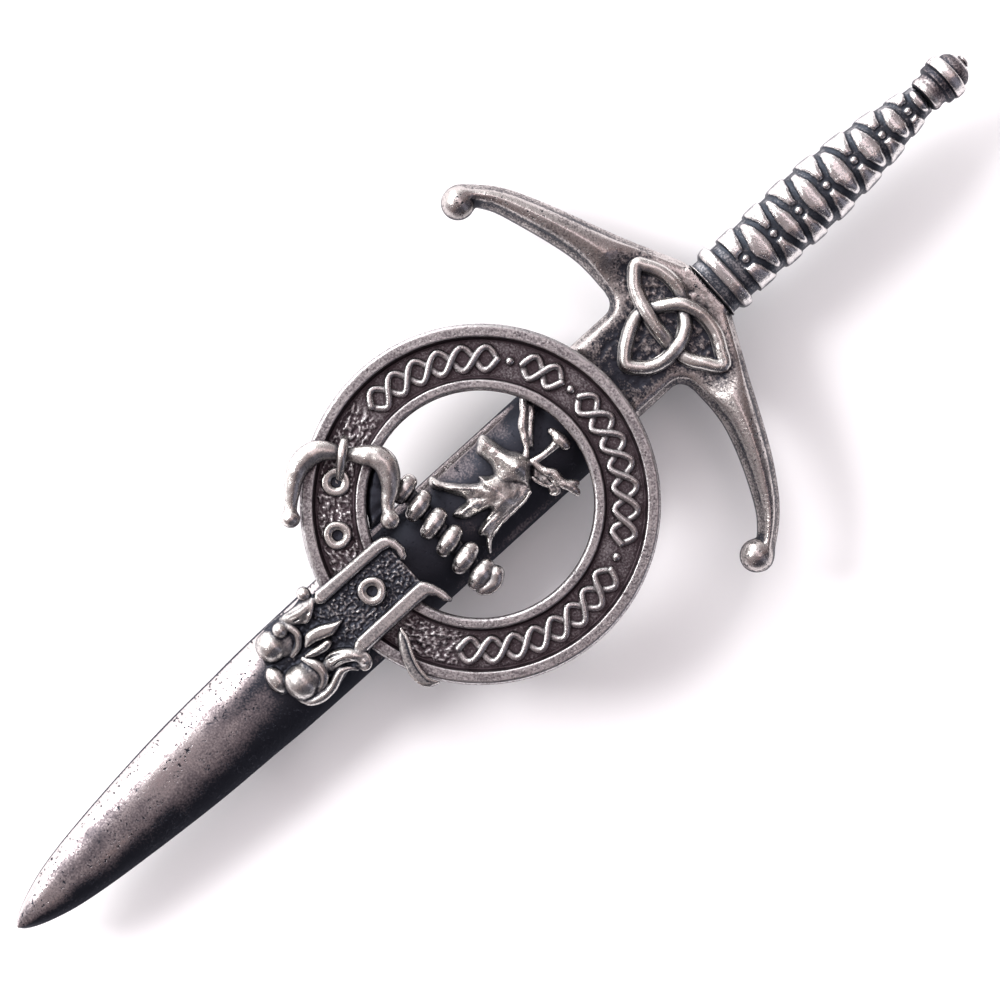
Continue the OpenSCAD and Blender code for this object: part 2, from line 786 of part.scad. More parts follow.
// Stag's head: shares of the radius of the ring's hole from its centre, then height and radius
// as shares of the head's height
HEAD = [
    [[-0.425, 0.4, 0.5, 0.14], [-0.4, 0.43, 0.6, 0.13], [-0.36, 0.33, 0.35, 0.15]],
    [[-0.4, 0.43, 0.6, 0.13], [-0.36, 0.33, 0.35, 0.15], [-0.13, 0.46, 0.62, 0.38], [-0.09, 0.37, 0.4, 0.26]],
    [[-0.13, 0.46, 0.62, 0.38], [0.02, 0.5, 0.6, 0.32], [0.1, 0.43, 0.5, 0.3], [-0.06, 0.36, 0.4, 0.26]],
    [[0.1, 0.43, 0.5, 0.3], [0.17, 0.4, 0.4, 0.22], [0.0, 0.2, 0.5, 0.4], [0.18, 0.18, 0.42, 0.3]],
    [[0.0, 0.2, 0.5, 0.4], [-0.165, 0.15, 0.3, 0.12], [-0.05, 0.06, 0.45, 0.3]],
    [[0.0, 0.2, 0.5, 0.4], [0.2, 0.16, 0.4, 0.26], [0.02, 0.0, 0.45, 0.3], [0.2, -0.02, 0.35, 0.22]],
    [[-0.02, 0.06, 0.45, 0.3], [-0.22, -0.1, 0.4, 0.22], [0.0, -0.03, 0.4, 0.25]],
    [[-0.22, -0.1, 0.4, 0.22], [-0.45, -0.18, 0.25, 0.1], [-0.36, -0.19, 0.25, 0.1]],
    [[0.02, 0.02, 0.45, 0.28], [-0.06, -0.12, 0.35, 0.18], [0.02, -0.14, 0.35, 0.16], [-0.07, -0.235, 0.22, 0.09]],
    [[0.17, 0.02, 0.38, 0.24], [0.19, -0.12, 0.3, 0.18], [0.23, -0.15, 0.25, 0.12]],
    [[0.19, -0.12, 0.28, 0.16], [0.24, -0.17, 0.22, 0.12], [0.36, -0.215, 0.15, 0.06]],
];
// across, up, height, radius
ANTLERS = [
    [[-0.07, 0.56, 0.45, 0.12], [-0.15, 0.66, 0.4, 0.12], [-0.27, 0.75, 0.34, 0.12], [-0.4, 0.87, 0.3, 0.1]],
    [[0.02, 0.54, 0.45, 0.12], [0.036, 0.7, 0.36, 0.1], [0.048, 0.89, 0.32, 0.1]],
    [[-0.05, 0.925, 0.28, 0.08], [0.048, 0.89, 0.33, 0.11], [0.137, 0.915, 0.28, 0.08]],
    [[0.048, 0.89, 0.33, 0.11], [0.054, 0.965, 0.28, 0.06]],
    [[0.05, 0.56, 0.45, 0.12], [0.2, 0.585, 0.4, 0.11], [0.34, 0.64, 0.34, 0.12], [0.49, 0.7, 0.3, 0.1]],
    [[0.34, 0.64, 0.34, 0.12], [0.4, 0.69, 0.3, 0.1], [0.44, 0.76, 0.3, 0.09]],
    [[0.12, 0.5, 0.42, 0.16], [0.22, 0.52, 0.36, 0.16], [0.35, 0.585, 0.3, 0.08]],
];

function head_point(row) = [
    ring_x + hole_r * row[0], ring_y + hole_r * row[1], seat_z + head_h * row[2], head_h * row[3]];

module stag_head() {
    color(bright) seated(seat_z) {
        for (lump = HEAD) hull() for (row = lump) bead(head_point(row));
        for (horn = ANTLERS) {
            rows = [for (row = horn) head_point(row)];
            for (i = [0:len(rows) - 2]) hull() {
                for (p = [rows[i], rows[i + 1]]) {
                    bead(p);
                    translate([p[0], p[1], seat_z]) cylinder(r = p[3], h = slab, $fn = bead_fn);
                }
            }
        }
    }
}

// Brooch pin: hinge block, stem and catch in one piece behind the sword
module brooch_pin() {
    hinge_y = knot_y - hinge_l / 2;
    stem_end = hinge_y - stem_l;
    point_l = 6 * stem_r;
    catch_y = stem_end + 2 * point_l;
    half = catch_w / 2;
    color(dark) {
        translate([-hinge_w / 2, hinge_y, 0]) cube([hinge_w, hinge_l, back_z]);
        translate([0, stem_end + point_l, stem_z]) rotate([-90, 0, 0])
            cylinder(r = stem_r, h = stem_l - point_l + hinge_l / 2, $fn = 32);
        translate([0, stem_end, stem_z]) rotate([-90, 0, 0])
            cylinder(r1 = stem_r * 0.2, r2 = stem_r, h = point_l, $fn = 32);
        translate([-half, catch_y, 0]) cube([catch_w, catch_l, catch_t * 1.1]);
        translate([-half, catch_y, 0]) cube([catch_t, catch_l, back_z]);
        translate([-half, catch_y, back_z - catch_t]) cube([catch_w, catch_l, catch_t]);
        translate([half - catch_t, catch_y, 0]) cube([catch_t, catch_l, stem_z + stem_r]);
    }
}

blade();
guard();
trinity_knot();
grip();
pommel();
strap_ring();
plait_band();
buckle_frame();
buckle_prong();
eyelet_buckle();
eyelet_strap();
eyelet_tail();
strap_tail();
strap_tip();
strap_keeper();
wreath();
stag_head();
brooch_pin();
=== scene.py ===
"""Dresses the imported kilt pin: cast relief in antiqued pewter, a pale floor, soft light and the camera.

Every size is in millimetres and is turned into metres when a mesh is built. X and Y are the frame's own;
+Y runs along the sword to the pommel and +Z up out of the ornamented front.
"""

import logging
import math
from dataclasses import dataclass
from enum import Enum
from typing import Callable, Sequence

import bpy
import numpy as np
from mathutils import Matrix, Vector


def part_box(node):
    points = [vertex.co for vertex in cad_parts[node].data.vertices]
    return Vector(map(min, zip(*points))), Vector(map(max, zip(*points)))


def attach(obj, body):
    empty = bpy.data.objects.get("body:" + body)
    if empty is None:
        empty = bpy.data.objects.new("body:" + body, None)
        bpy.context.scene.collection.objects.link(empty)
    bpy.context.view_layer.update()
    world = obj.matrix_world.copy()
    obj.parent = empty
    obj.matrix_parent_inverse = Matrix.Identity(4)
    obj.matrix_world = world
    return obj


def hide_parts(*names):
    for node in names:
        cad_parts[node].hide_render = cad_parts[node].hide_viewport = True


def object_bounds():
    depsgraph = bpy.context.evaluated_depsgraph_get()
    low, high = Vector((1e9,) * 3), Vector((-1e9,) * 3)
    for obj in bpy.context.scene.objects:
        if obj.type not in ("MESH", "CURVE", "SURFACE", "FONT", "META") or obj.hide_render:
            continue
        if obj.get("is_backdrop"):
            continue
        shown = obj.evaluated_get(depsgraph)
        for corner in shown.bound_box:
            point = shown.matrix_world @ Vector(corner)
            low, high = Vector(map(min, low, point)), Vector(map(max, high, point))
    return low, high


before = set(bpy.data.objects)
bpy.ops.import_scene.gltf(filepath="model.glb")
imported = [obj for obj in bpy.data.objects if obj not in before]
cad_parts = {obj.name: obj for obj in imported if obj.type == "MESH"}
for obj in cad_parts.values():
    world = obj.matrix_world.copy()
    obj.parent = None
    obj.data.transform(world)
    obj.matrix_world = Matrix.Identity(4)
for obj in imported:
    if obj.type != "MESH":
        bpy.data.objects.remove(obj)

LOG = logging.getLogger("kilt_pin")
MM = 0.001
FAR = 9.0
TINY = 1e-12
# share of a height that counts as distance, over a rounded top and over a stippled ground
ROUND_SHARE, GROUND_SHARE = 0.75, 0.8

Row = Sequence[float]
Soil = Callable[[np.ndarray, np.ndarray, np.ndarray], np.ndarray]


def box_mm(node: str) -> tuple[np.ndarray, np.ndarray]:
    """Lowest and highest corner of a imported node, in millimetres."""
    low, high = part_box(node)
    return np.array(low) / MM, np.array(high) / MM


@dataclass(frozen=True)
class Layout:
    """Places that several pieces share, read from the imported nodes.

    Attributes:
        back_z: underside of the sword.
        seat_z: front of the blade, where the badge sits.
        rim_z: top of the strap ring's rims.
        floor_z: bottom of the ring's channel.
        tail_z: top of the tail between its raised edges.
        ring: centre of the strap ring.
        ring_r: outer radius of the strap ring.
        point_y, block_y, collar_y: the blade's point, and the joints of the block and of the grip.
    """

    back_z: float
    seat_z: float
    rim_z: float
    floor_z: float
    tail_z: float
    ring: tuple[float, float]
    ring_r: float
    point_y: float
    block_y: float
    collar_y: float

    @classmethod
    def read(cls) -> "Layout":
        """Reads the places from the frame.

        Returns:
            The places.
        """
        blade_low, blade_high = box_mm("blade")
        ring_low, ring_high = box_mm("strap_ring")
        middle = (ring_low + ring_high) / 2
        return cls(
            back_z=blade_low[2], seat_z=blade_high[2], rim_z=ring_high[2],
            floor_z=box_mm("eyelet_strap")[0][2], tail_z=box_mm("eyelet_tail")[0][2],
            ring=(middle[0], middle[1]), ring_r=(ring_high[0] - ring_low[0]) / 2,
            point_y=blade_low[1], block_y=blade_high[1],
            collar_y=box_mm("guard")[1][1])


PLACE = Layout.read()


@dataclass(frozen=True)
class BadgePlane:
    """Plane in which the badge was measured; its pieces stand nearer to the camera than the sword does."""

    scale: float = 0.983
    shift: float = 0.31

    def at(self, row: Row) -> np.ndarray:
        """Frame place of a measured row of x, y and, if given, height above the seat and radius.

        Args:
            row: measured x and y, then, if given, height above the seat and radius.

        Returns:
            The place in the frame, with the radius at the frame's scale.
        """
        place = [self.scale * row[0] + self.shift, self.scale * row[1]]
        if len(row) > 2:
            place.append(PLACE.seat_z + row[2])
        if len(row) > 3:
            place.append(self.scale * row[3])
        return np.array(place, float)

    def outline(self, rows: Sequence[Row], steps: int = 3) -> np.ndarray:
        """Smooth closed outline through measured corners."""
        return smooth_path([self.at(row) for row in rows], steps, loop=True)[:-1]

    def path(self, rows: Sequence[Row], steps: int = 5) -> np.ndarray:
        """Smooth strand path through measured rows of x, y, height above the blade and radius."""
        return smooth_path([self.at(row) for row in rows], steps)

    def bumps(self, rows: Sequence[Row]) -> list[tuple]:
        """Frame places of measured bumps: x, y, half length, half width, turn and height."""
        return [(*self.at(row[:2]), row[2], row[3], row[4], row[5]) for row in rows]


BADGE = BadgePlane()

# how far the strap's tip reaches under the end of the strap
JOINT = 0.25
# how far a badge piece reaches down past the blade's front, so that no gap shows below it
FOOT = 0.02


def smooth_path(rows: Sequence[Row], steps: int, loop: bool = False) -> np.ndarray:
    """Runs a smooth curve through rows of numbers.

    Args:
        rows: points with any further values, such as a radius.
        steps: new points for each stretch between two rows.
        loop: whether the last row joins the first.

    Returns:
        The denser rows; a loop's first row is repeated at its end.
    """
    v = np.array(rows, float)
    n = len(v)
    if loop:
        v = np.vstack([v[-1:], v, v[:2]])
    else:
        v = np.vstack([2 * v[:1] - v[1:2], v, 2 * v[-1:] - v[-2:-1]])
    stretches = n if loop else n - 1
    t = (np.arange(steps) / steps)[:, None]
    made = []
    for i in range(stretches):
        a, b, c, d = v[i], v[i + 1], v[i + 2], v[i + 3]
        made.append((2 * b + (c - a) * t + (2 * a - 5 * b + 4 * c - d) * t ** 2
                     + (3 * b - a - 3 * c + d) * t ** 3) / 2)
    return np.vstack(made + [v[1:2] if loop else v[-2:-1]])


def ramp(value: np.ndarray, start: float, width: float) -> np.ndarray:
    """Share that is 0 up to the start and climbs evenly to 1 over the given width."""
    return np.clip((value - start) / width, 0, 1)


def quarter_round(share: np.ndarray) -> np.ndarray:
    """Height of a quarter circle, as a share, at a share of its width."""
    return np.sqrt(1 - (1 - share) ** 2)


def lesser(a: np.ndarray, b: np.ndarray, fillet: float) -> np.ndarray:
    """Union of two distances, with a fillet of about the given size where they meet.

    Args:
        a, b: the distances.
        fillet: size of the fillet, 0 for none.

    Returns:
        The distances to the union.
    """
    if fillet <= 0:
        return np.minimum(a, b)
    h = np.clip(0.5 + 0.5 * (b - a) / fillet, 0, 1)
    return b + (a - b) * h - fillet * h * (1 - h)


def greater(a: np.ndarray, b: np.ndarray, fillet: float) -> np.ndarray:
    """Overlap of two distances, with a rounded edge of about the given size."""
    return -lesser(-a, -b, fillet)


def outline_distance(x: np.ndarray, y: np.ndarray, corners: np.ndarray) -> np.ndarray:
    """Distance to a closed outline in the plane, negative inside it.

    Args:
        x, y: places, as arrays that broadcast against each other.
        corners: the outline's corners in order.

    Returns:
        The signed distances.
    """
    x, y = np.broadcast_arrays(x, y)
    nearest = np.full(x.shape, FAR * FAR)
    inside = np.zeros(x.shape, bool)
    for (ax, ay), (bx, by) in zip(corners, np.roll(corners, -1, axis=0)):
        ex, ey = bx - ax, by - ay
        wx, wy = x - ax, y - ay
        t = np.clip((wx * ex + wy * ey) / max(ex * ex + ey * ey, TINY), 0, 1)
        nearest = np.minimum(nearest, (wx - ex * t) ** 2 + (wy - ey * t) ** 2)
        if ay != by:
            inside ^= ((ay > y) != (by > y)) & (x < ex * (y - ay) / (by - ay) + ax)
    return np.where(inside, -1, 1) * np.sqrt(nearest)


def pebbles(x: np.ndarray, y: np.ndarray, size: float, seed: int) -> np.ndarray:
    """Smooth random heights from -1 to 1 over the plane.

    Args:
        x, y: places, as arrays that broadcast against each other.
        size: width of one bump.
        seed: start of the random draws.

    Returns:
        The heights.
    """
    count = 61
    table = np.random.default_rng(seed).uniform(-1, 1, (count, count))
    u, v = np.broadcast_arrays(x / size, y / size)
    i, j = np.floor(u).astype(int), np.floor(v).astype(int)
    s, t = u - i, v - j
    s, t = s * s * (3 - 2 * s), t * t * (3 - 2 * t)

    def corner(di: int, dj: int) -> np.ndarray:
        """Random value at one corner of each square."""
        return table[(i + di) % count, (j + dj) % count]

    low = corner(0, 0) * (1 - s) + corner(1, 0) * s
    high = corner(0, 1) * (1 - s) + corner(1, 1) * s
    return low * (1 - t) + high * t


def stipple(x: np.ndarray, y: np.ndarray, seed: int) -> np.ndarray:
    """Heights of a punched ground: small pebbles, a few of which stand proud.

    Args:
        x, y: places, as arrays that broadcast against each other.
        seed: start of the random draws.

    Returns:
        The heights, mostly from -1.7 to 1.7.
    """
    coarse_size, fine_size, patch_size = 0.18, 0.1, 0.75
    fine_share, proud, proud_from = 0.7, 1.6, 0.35
    fine = pebbles(x, y, coarse_size, seed) + fine_share * pebbles(x, y, fine_size, seed + 1)
    patches = np.clip(pebbles(x, y, patch_size, seed + 2) - proud_from, 0, 1)
    return fine + proud * patches * np.clip(fine, 0, 1)


class Casting:
    """A cast form, kept as distances to its surface on a grid and meshed at the end."""

    CORNERS = np.array([(i, j, k) for i in (0, 1) for j in (0, 1) for k in (0, 1)])
    # grid cells kept free round the form, and round each part that is added
    BORDER, MARGIN = 2.5, 3
    # rounding of a cushion's foot
    SHARP = 0.04
    EDGES = [(a, b) for a in range(8) for b in range(a + 1, 8) if bin(a ^ b).count("1") == 1]

    def __init__(self, low: Row, high: Row, cell: float) -> None:
        """Makes an empty grid.

        Args:
            low, high: corners of the box that holds the form.
            cell: distance between grid nodes.
        """
        self.cell = cell
        self.low = np.array(low, float) - self.BORDER * cell
        counts = np.ceil((np.array(high, float) - self.low) / cell).astype(int) + 4
        self.axes = [self.low[i] + cell * np.arange(counts[i]) for i in range(3)]
        self.field = np.full(counts, FAR, np.float32)

    def window(self, low: Row, high: Row) -> tuple[tuple[slice, ...], list[np.ndarray]]:
        """Grid slices of a box, and its coordinates as broadcastable arrays.

        Args:
            low, high: corners of the box.

        Returns:
            The slices, and the coordinates along X, Y and Z.
        """
        cuts = tuple(
            slice(max(0, int((low[i] - self.low[i]) / self.cell)),
                  max(0, min(len(self.axes[i]), int((high[i] - self.low[i]) / self.cell) + 2)))
            for i in range(3))
        x, y, z = (self.axes[i][cuts[i]] for i in range(3))
        return cuts, [x[:, None, None], y[None, :, None], z[None, None, :]]

    def everywhere(self) -> list[np.ndarray]:
        """Coordinates of the whole grid as broadcastable arrays."""
        x, y, z = self.axes
        return [x[:, None, None], y[None, :, None], z[None, None, :]]

    def join(self, distance: np.ndarray, fillet: float = 0.0, cuts: tuple = (Ellipsis,)) -> None:
        """Adds a form to the casting."""
        self.field[cuts] = lesser(self.field[cuts], distance, fillet)

    def keep(self, distance: np.ndarray, edge: float = 0.0) -> None:
        """Keeps only what lies inside a form."""
        self.field = greater(self.field, distance, edge).astype(np.float32)

    def above(self, level: float) -> None:
        """Keeps only what lies above a level."""
        self.keep(level - self.everywhere()[2])

    def carve(self, distance: np.ndarray, edge: float = 0.0) -> None:
        """Cuts a form away."""
        self.keep(-distance, edge)

    def strand(self, path: np.ndarray, fillet: float = 0.0, flat: float = 1.0) -> None:
        """Adds a round strand.

        Args:
            path: rows of x, y, z and radius.
            fillet: size of the fillet where it meets the rest.
            flat: height of the section as a share of its width.
        """
        self.join(self.strand_distance(path, fillet, flat), fillet)

    def groove(self, path: np.ndarray, edge: float = 0.05) -> None:
        """Carves a round groove along rows of x, y, z and radius."""
        self.carve(self.strand_distance(path, edge, 1.0), edge)

    def strand_distance(self, path: np.ndarray, fillet: float, flat: float) -> np.ndarray:
        """Distances to a round strand, far away where it can't matter.

        Args:
            path: rows of x, y, z and radius.
            fillet: room that its fillet takes.
            flat: height of the section as a share of its width.

        Returns:
            The distances on the whole grid.
        """
        margin = fillet + self.MARGIN * self.cell
        own = np.full(self.field.shape, FAR, np.float32)
        for a, b in zip(path[:-1], path[1:]):
            reach = max(a[3], b[3]) + margin
            cuts, (x, y, z) = self.window(np.minimum(a[:3], b[:3]) - reach, np.maximum(a[:3], b[:3]) + reach)
            step = (b[:3] - a[:3]) * (1, 1, 1 / flat)
            rx, ry, rz = x - a[0], y - a[1], (z - a[2]) / flat
            t = np.clip((rx * step[0] + ry * step[1] + rz * step[2]) / max(step @ step, TINY), 0, 1)
            distance = np.sqrt((rx - step[0] * t) ** 2 + (ry - step[1] * t) ** 2 + (rz - step[2] * t) ** 2)
            own[cuts] = np.minimum(own[cuts], distance - (a[3] + (b[3] - a[3]) * t))
        return own

    def cushion(self, outline: np.ndarray, top: float, foot: float, rim: float, fillet: float = 0.0,
                bumps: Sequence[Row] = (), tilt: Row = (0, 0, 0)) -> None:
        """Adds a cushion over an outline: round at its rim and level in the middle.

        Args:
            outline: corners in the plane.
            top, foot: heights of its middle and of the top of its upright side.
            rim: width of the rounding.
            fillet: size of the fillet where it meets the rest.
            bumps: rows of x, y, half length, half width, turn in degrees and height, added to the top.
            tilt: slope along Y, the y where it starts, and the slope along X.
        """
        reach = fillet + self.MARGIN * self.cell
        low, high = outline.min(axis=0) - reach, outline.max(axis=0) + reach
        cuts, (x, y, z) = self.window((*low, self.low[2]), (*high, self.axes[2][-1]))
        flat = outline_distance(x[:, :, 0], y[:, :, 0], outline)[:, :, None]
        depth = np.clip(-flat / rim, 0, 1)
        level = top + tilt[0] * (y - tilt[1]) + tilt[2] * x
        for bx, by, length, width, turn, rise in bumps:
            c, k = math.cos(math.radians(turn)), math.sin(math.radians(turn))
            u, v = ((x - bx) * c + (y - by) * k) / length, ((y - by) * c - (x - bx) * k) / width
            level = level + rise * np.exp(-u * u - v * v) * depth
        height = foot + (level - foot) * quarter_round(depth)
        self.join(greater((z - height) * ROUND_SHARE, flat, self.SHARP), fillet, cuts)

    def lump(self, centre: Row, radii: Row, fillet: float = 0.0, turn: float = 0.0) -> None:
        """Adds an egg-shaped lump.

        Args:
            centre: its middle.
            radii: its half lengths along X, Y and Z before the turn.
            fillet: size of the fillet where it meets the rest.
            turn: degrees by which it is turned about +Z.
        """
        self.join(*self.lump_distance(centre, radii, fillet, turn))

    def lump_distance(self, centre: Row, radii: Row, fillet: float, turn: float) -> tuple:
        """Distances to an egg-shaped lump, with the fillet and the grid slices that join() takes.

        Args:
            centre: its middle.
            radii: its half lengths along X, Y and Z before the turn.
            fillet: size of the fillet where it meets the rest.
            turn: degrees by which it is turned.

        Returns:
            The distances, the fillet and the slices.
        """
        reach = max(radii) + fillet + self.MARGIN * self.cell
        cuts, (x, y, z) = self.window(np.array(centre) - reach, np.array(centre) + reach)
        c, s = math.cos(math.radians(turn)), math.sin(math.radians(turn))
        dx, dy, dz = x - centre[0], y - centre[1], z - centre[2]
        u, v, w = (dx * c + dy * s) / radii[0], (dy * c - dx * s) / radii[1], dz / radii[2]
        k0 = np.sqrt(u * u + v * v + w * w)
        k1 = np.sqrt((u / radii[0]) ** 2 + (v / radii[1]) ** 2 + (w / radii[2]) ** 2)
        return k0 * (k0 - 1) / np.maximum(k1, 1e-6), fillet, cuts

    def uneven(self, amount: float, size: float, seed: int) -> None:
        """Makes the surface gently uneven, as a wax worked by hand is."""
        x, y, _ = self.everywhere()
        self.field += (amount * pebbles(x, y, size, seed)).astype(np.float32)

    def net(self) -> tuple[np.ndarray, np.ndarray]:
        """Lays a net of quads over the surface.

        Returns:
            The points in millimetres, and the quads as rows of four point numbers.
        """
        f = self.field.copy()
        for axis in range(3):
            rim = f.swapaxes(0, axis)
            rim[[0, -1]] = np.maximum(rim[[0, -1]], 0.5 * self.cell)
        solid = f < 0
        size = np.array(f.shape) - 1
        filled = np.zeros(size, np.int8)
        for i, j, k in self.CORNERS:
            filled += solid[i:i + size[0], j:j + size[1], k:k + size[2]]
        active = (filled > 0) & (filled < 8)
        cells = np.argwhere(active)
        number = np.full(active.shape, -1, np.int32)
        number[active] = np.arange(len(cells))
        values = np.stack([f[tuple((cells + c).T)] for c in self.CORNERS], axis=1).astype(float)
        total = np.zeros((len(cells), 3))
        hits = np.zeros(len(cells))
        for a, b in self.EDGES:
            va, vb = values[:, a], values[:, b]
            cut = (va < 0) != (vb < 0)
            t = np.where(cut, va / np.where(cut, va - vb, 1), 0)
            crossing = self.CORNERS[a] + t[:, None] * (self.CORNERS[b] - self.CORNERS[a])
            total += np.where(cut[:, None], crossing, 0)
            hits += cut
        points = self.low + self.cell * (cells + total / hits[:, None])
        quads = []
        for axis in range(3):
            u, v = np.eye(3, dtype=int)[(axis + 1) % 3], np.eye(3, dtype=int)[(axis + 2) % 3]
            along = np.diff(solid.astype(np.int8), axis=axis) != 0
            nodes = np.argwhere(along)
            quad = np.stack([number[tuple((nodes - d).T)] for d in (u + v, v, 0 * u, u)], axis=1)
            leaves = solid[tuple(nodes.T)]
            quads.append(np.where(leaves[:, None], quad, quad[:, ::-1]))
        return points, np.vstack(quads)


def lathe(profile: np.ndarray, turns: int) -> tuple[np.ndarray, np.ndarray]:
    """Turns a closed profile about the Z axis.

    Args:
        profile: rows of radius and height, anticlockwise with the radius to the right.
        turns: number of copies round the axis.

    Returns:
        The points and the quads.
    """
    closed = np.vstack([profile, profile[:1]])
    a = np.linspace(0, 2 * math.pi, turns, endpoint=False)[:, None]
    x, y = closed[:, 0] * np.cos(a), closed[:, 0] * np.sin(a)
    z = np.broadcast_to(closed[:, 1], x.shape)
    points = np.stack([x, y, z], axis=2)[:, :-1].reshape(-1, 3)
    n = len(profile)
    i = np.arange(turns)[:, None]
    j = np.arange(n)[None, :]
    k, m = (i + 1) % turns, (j + 1) % n
    quads = np.stack(np.broadcast_arrays(i * n + j, k * n + j, k * n + m, i * n + m)).reshape(4, -1).T
    return points, quads


def resample(outline: Sequence[Row], step: float) -> np.ndarray:
    """Puts points at even steps along a closed outline, keeping its corners.

    Args:
        outline: corners in order.
        step: greatest distance between two points.

    Returns:
        The points.
    """
    made = []
    corners = np.array(outline, float)
    for a, b in zip(corners, np.roll(corners, -1, axis=0)):
        n = max(1, int(math.ceil(np.linalg.norm(b - a) / step)))
        made.append(a + (b - a) * (np.arange(n) / n)[:, None])
    return np.vstack(made)


def rounded(corners: Sequence[Row], steps: int = 5) -> np.ndarray:
    """Rounds the corners of an outline.

    Args:
        corners: rows of the two coordinates and the corner's radius.
        steps: points on each round.

    Returns:
        The outline's points.
    """
    rows = np.array(corners, float)
    n = len(rows)
    made = []
    for i in range(n):
        before, here, after = rows[i - 1], rows[i], rows[(i + 1) % n]
        to_before, to_after = before[:2] - here[:2], after[:2] - here[:2]
        a = here[:2] + to_before * min(0.5, here[2] / np.linalg.norm(to_before))
        b = here[:2] + to_after * min(0.5, here[2] / np.linalg.norm(to_after))
        for t in np.linspace(0, 1, steps) if here[2] > 0 else [0.5]:
            made.append((1 - t) ** 2 * a + 2 * t * (1 - t) * here[:2] + t * t * b)
    return np.array(made)


class Finish(Enum):
    """Names of the finishes."""

    SMOOTH = "pewter_smooth"
    BRIGHT = "pewter_bright"
    DARK = "pewter_dark"
    STEEL = "steel"


class Graph:
    """Small helper that adds nodes to a tree and joins them."""

    def __init__(self, tree: bpy.types.NodeTree) -> None:
        """Takes the tree to work on."""
        self.tree = tree

    def add(self, kind: str, **values: object) -> bpy.types.Node:
        """Adds a node and sets its properties.

        Args:
            kind: the node's type.
            values: its properties by name.

        Returns:
            The node.
        """
        node = self.tree.nodes.new(kind)
        for name, value in values.items():
            setattr(node, name, value)
        return node

    def link(self, source: bpy.types.NodeSocket, target: bpy.types.NodeSocket) -> None:
        """Joins two sockets."""
        self.tree.links.new(source, target)

    def feed(self, socket: bpy.types.NodeSocket, value: object) -> None:
        """Joins a socket to another one, or sets it to a constant.

        Args:
            socket: the input.
            value: another node's output, or a constant.
        """
        if isinstance(value, bpy.types.NodeSocket):
            self.link(value, socket)
        else:
            socket.default_value = value

    def effect(self, group: bpy.types.NodeTree, values: dict[str, object]) -> bpy.types.Node:
        """Places a shared effect with its own input values.

        Args:
            group: the shared effect.
            values: constants by the name of the input.

        Returns:
            The node.
        """
        node = self.add("ShaderNodeGroup", node_tree=group)
        for label, value in values.items():
            node.inputs[label].default_value = value
        return node

    def maths(self, operation: str, *values: object, clamp: bool = False) -> bpy.types.NodeSocket:
        """Output of a Math node.

        Args:
            operation: what the node does.
            values: outputs or constants.
            clamp: whether the result is kept between 0 and 1.

        Returns:
            The node's output.
        """
        node = self.add("ShaderNodeMath", operation=operation, use_clamp=clamp)
        for i, value in enumerate(values):
            self.feed(node.inputs[i], value)
        return node.outputs[0]

    def ease(self, value: object, low: object, high: object) -> bpy.types.NodeSocket:
        """Runs smoothly from 0 at the low value to 1 at the high value.

        Args:
            value: output to ease.
            low, high: values where it leaves 0 and reaches 1.

        Returns:
            The node's output.
        """
        node = self.add("ShaderNodeMapRange", interpolation_type="SMOOTHSTEP")
        self.feed(node.inputs["Value"], value)
        self.feed(node.inputs["From Min"], low)
        self.feed(node.inputs["From Max"], high)
        return node.outputs["Result"]

    def mix(self, share: object, a: object, b: object) -> bpy.types.NodeSocket:
        """Mix of two colours.

        Args:
            share: 0 for the first colour, 1 for the second.
            a, b: the colours.

        Returns:
            The node's output.
        """
        node = self.add("ShaderNodeMix", data_type="RGBA")
        self.feed(node.inputs[0], share)
        self.feed(node.inputs[6], a)
        self.feed(node.inputs[7], b)
        return node.outputs[2]

    def noise(self, where: object, scale: object, detail: float = 2.0) -> bpy.types.NodeSocket:
        """Fac output of a noise texture.

        Args:
            where: coordinates.
            scale: bumps to the metre.
            detail: number of finer layers.

        Returns:
            The node's output.
        """
        node = self.add("ShaderNodeTexNoise")
        self.link(where, node.inputs["Vector"])
        self.feed(node.inputs["Scale"], scale)
        node.inputs["Detail"].default_value = detail
        return node.outputs["Fac"]


def effect_group(name: str, inputs: Sequence[tuple], outputs: Sequence[tuple]) -> tuple:
    """Starts a shader node group.

    Args:
        name: the group's name.
        inputs: name, socket type and default of each input.
        outputs: name and socket type of each output.

    Returns:
        The group's graph, its input node and its output node.
    """
    tree = bpy.data.node_groups.new(name, "ShaderNodeTree")
    for label, kind, default in inputs:
        socket = tree.interface.new_socket(label, in_out="INPUT", socket_type=kind)
        socket.default_value = default
    for label, kind in outputs:
        tree.interface.new_socket(label, in_out="OUTPUT", socket_type=kind)
    graph = Graph(tree)
    return graph, graph.add("NodeGroupInput"), graph.add("NodeGroupOutput")


NUMBER = "NodeSocketFloat"
COLOUR = "NodeSocketColor"
# scales of the noises: blotches, specks, and the patches that carry pits
CLOUD_SCALE, SPECK_SCALE, PATCH_SCALE = 420.0, 6500.0, 700.0
# slopes, by the normal's height, between which patina and painted shade lie on steep sides, and a painted
# dark outline on sheer ones
STEEP, SHEER = (0.68, 0.12), (0.42, 0.08)
# the normal's sideways part between which a side counts as the right one, and shares of that darkening: the
# extra painted shade on right-facing sides, and what left-facing ones keep
RIGHTWARD, RIGHT_MORE, LEFT_KEPT = (-0.1, 0.5), 0.45, 0.55
# painted dark outline on sheer sides, and painted shade in sheltered corners
SHEER_SOIL, SHELTERED = 0.6, 0.75
# shade between which deep turns to middle, and middle to worn
DEEP_TO_MIDDLE, MIDDLE_TO_WORN = (-0.35, 0.15), (0.05, 0.5)
# roughness of the patina, and how much the specks change it
DULL, SPECK_ROUGH = 0.5, 0.15
# noise between which a patch carries pits, noise between which a pit opens, and a pit's depth
PATCHES, HOLES, PIT_DEPTH = (0.38, 0.62), (0.6, 0.67), 0.6


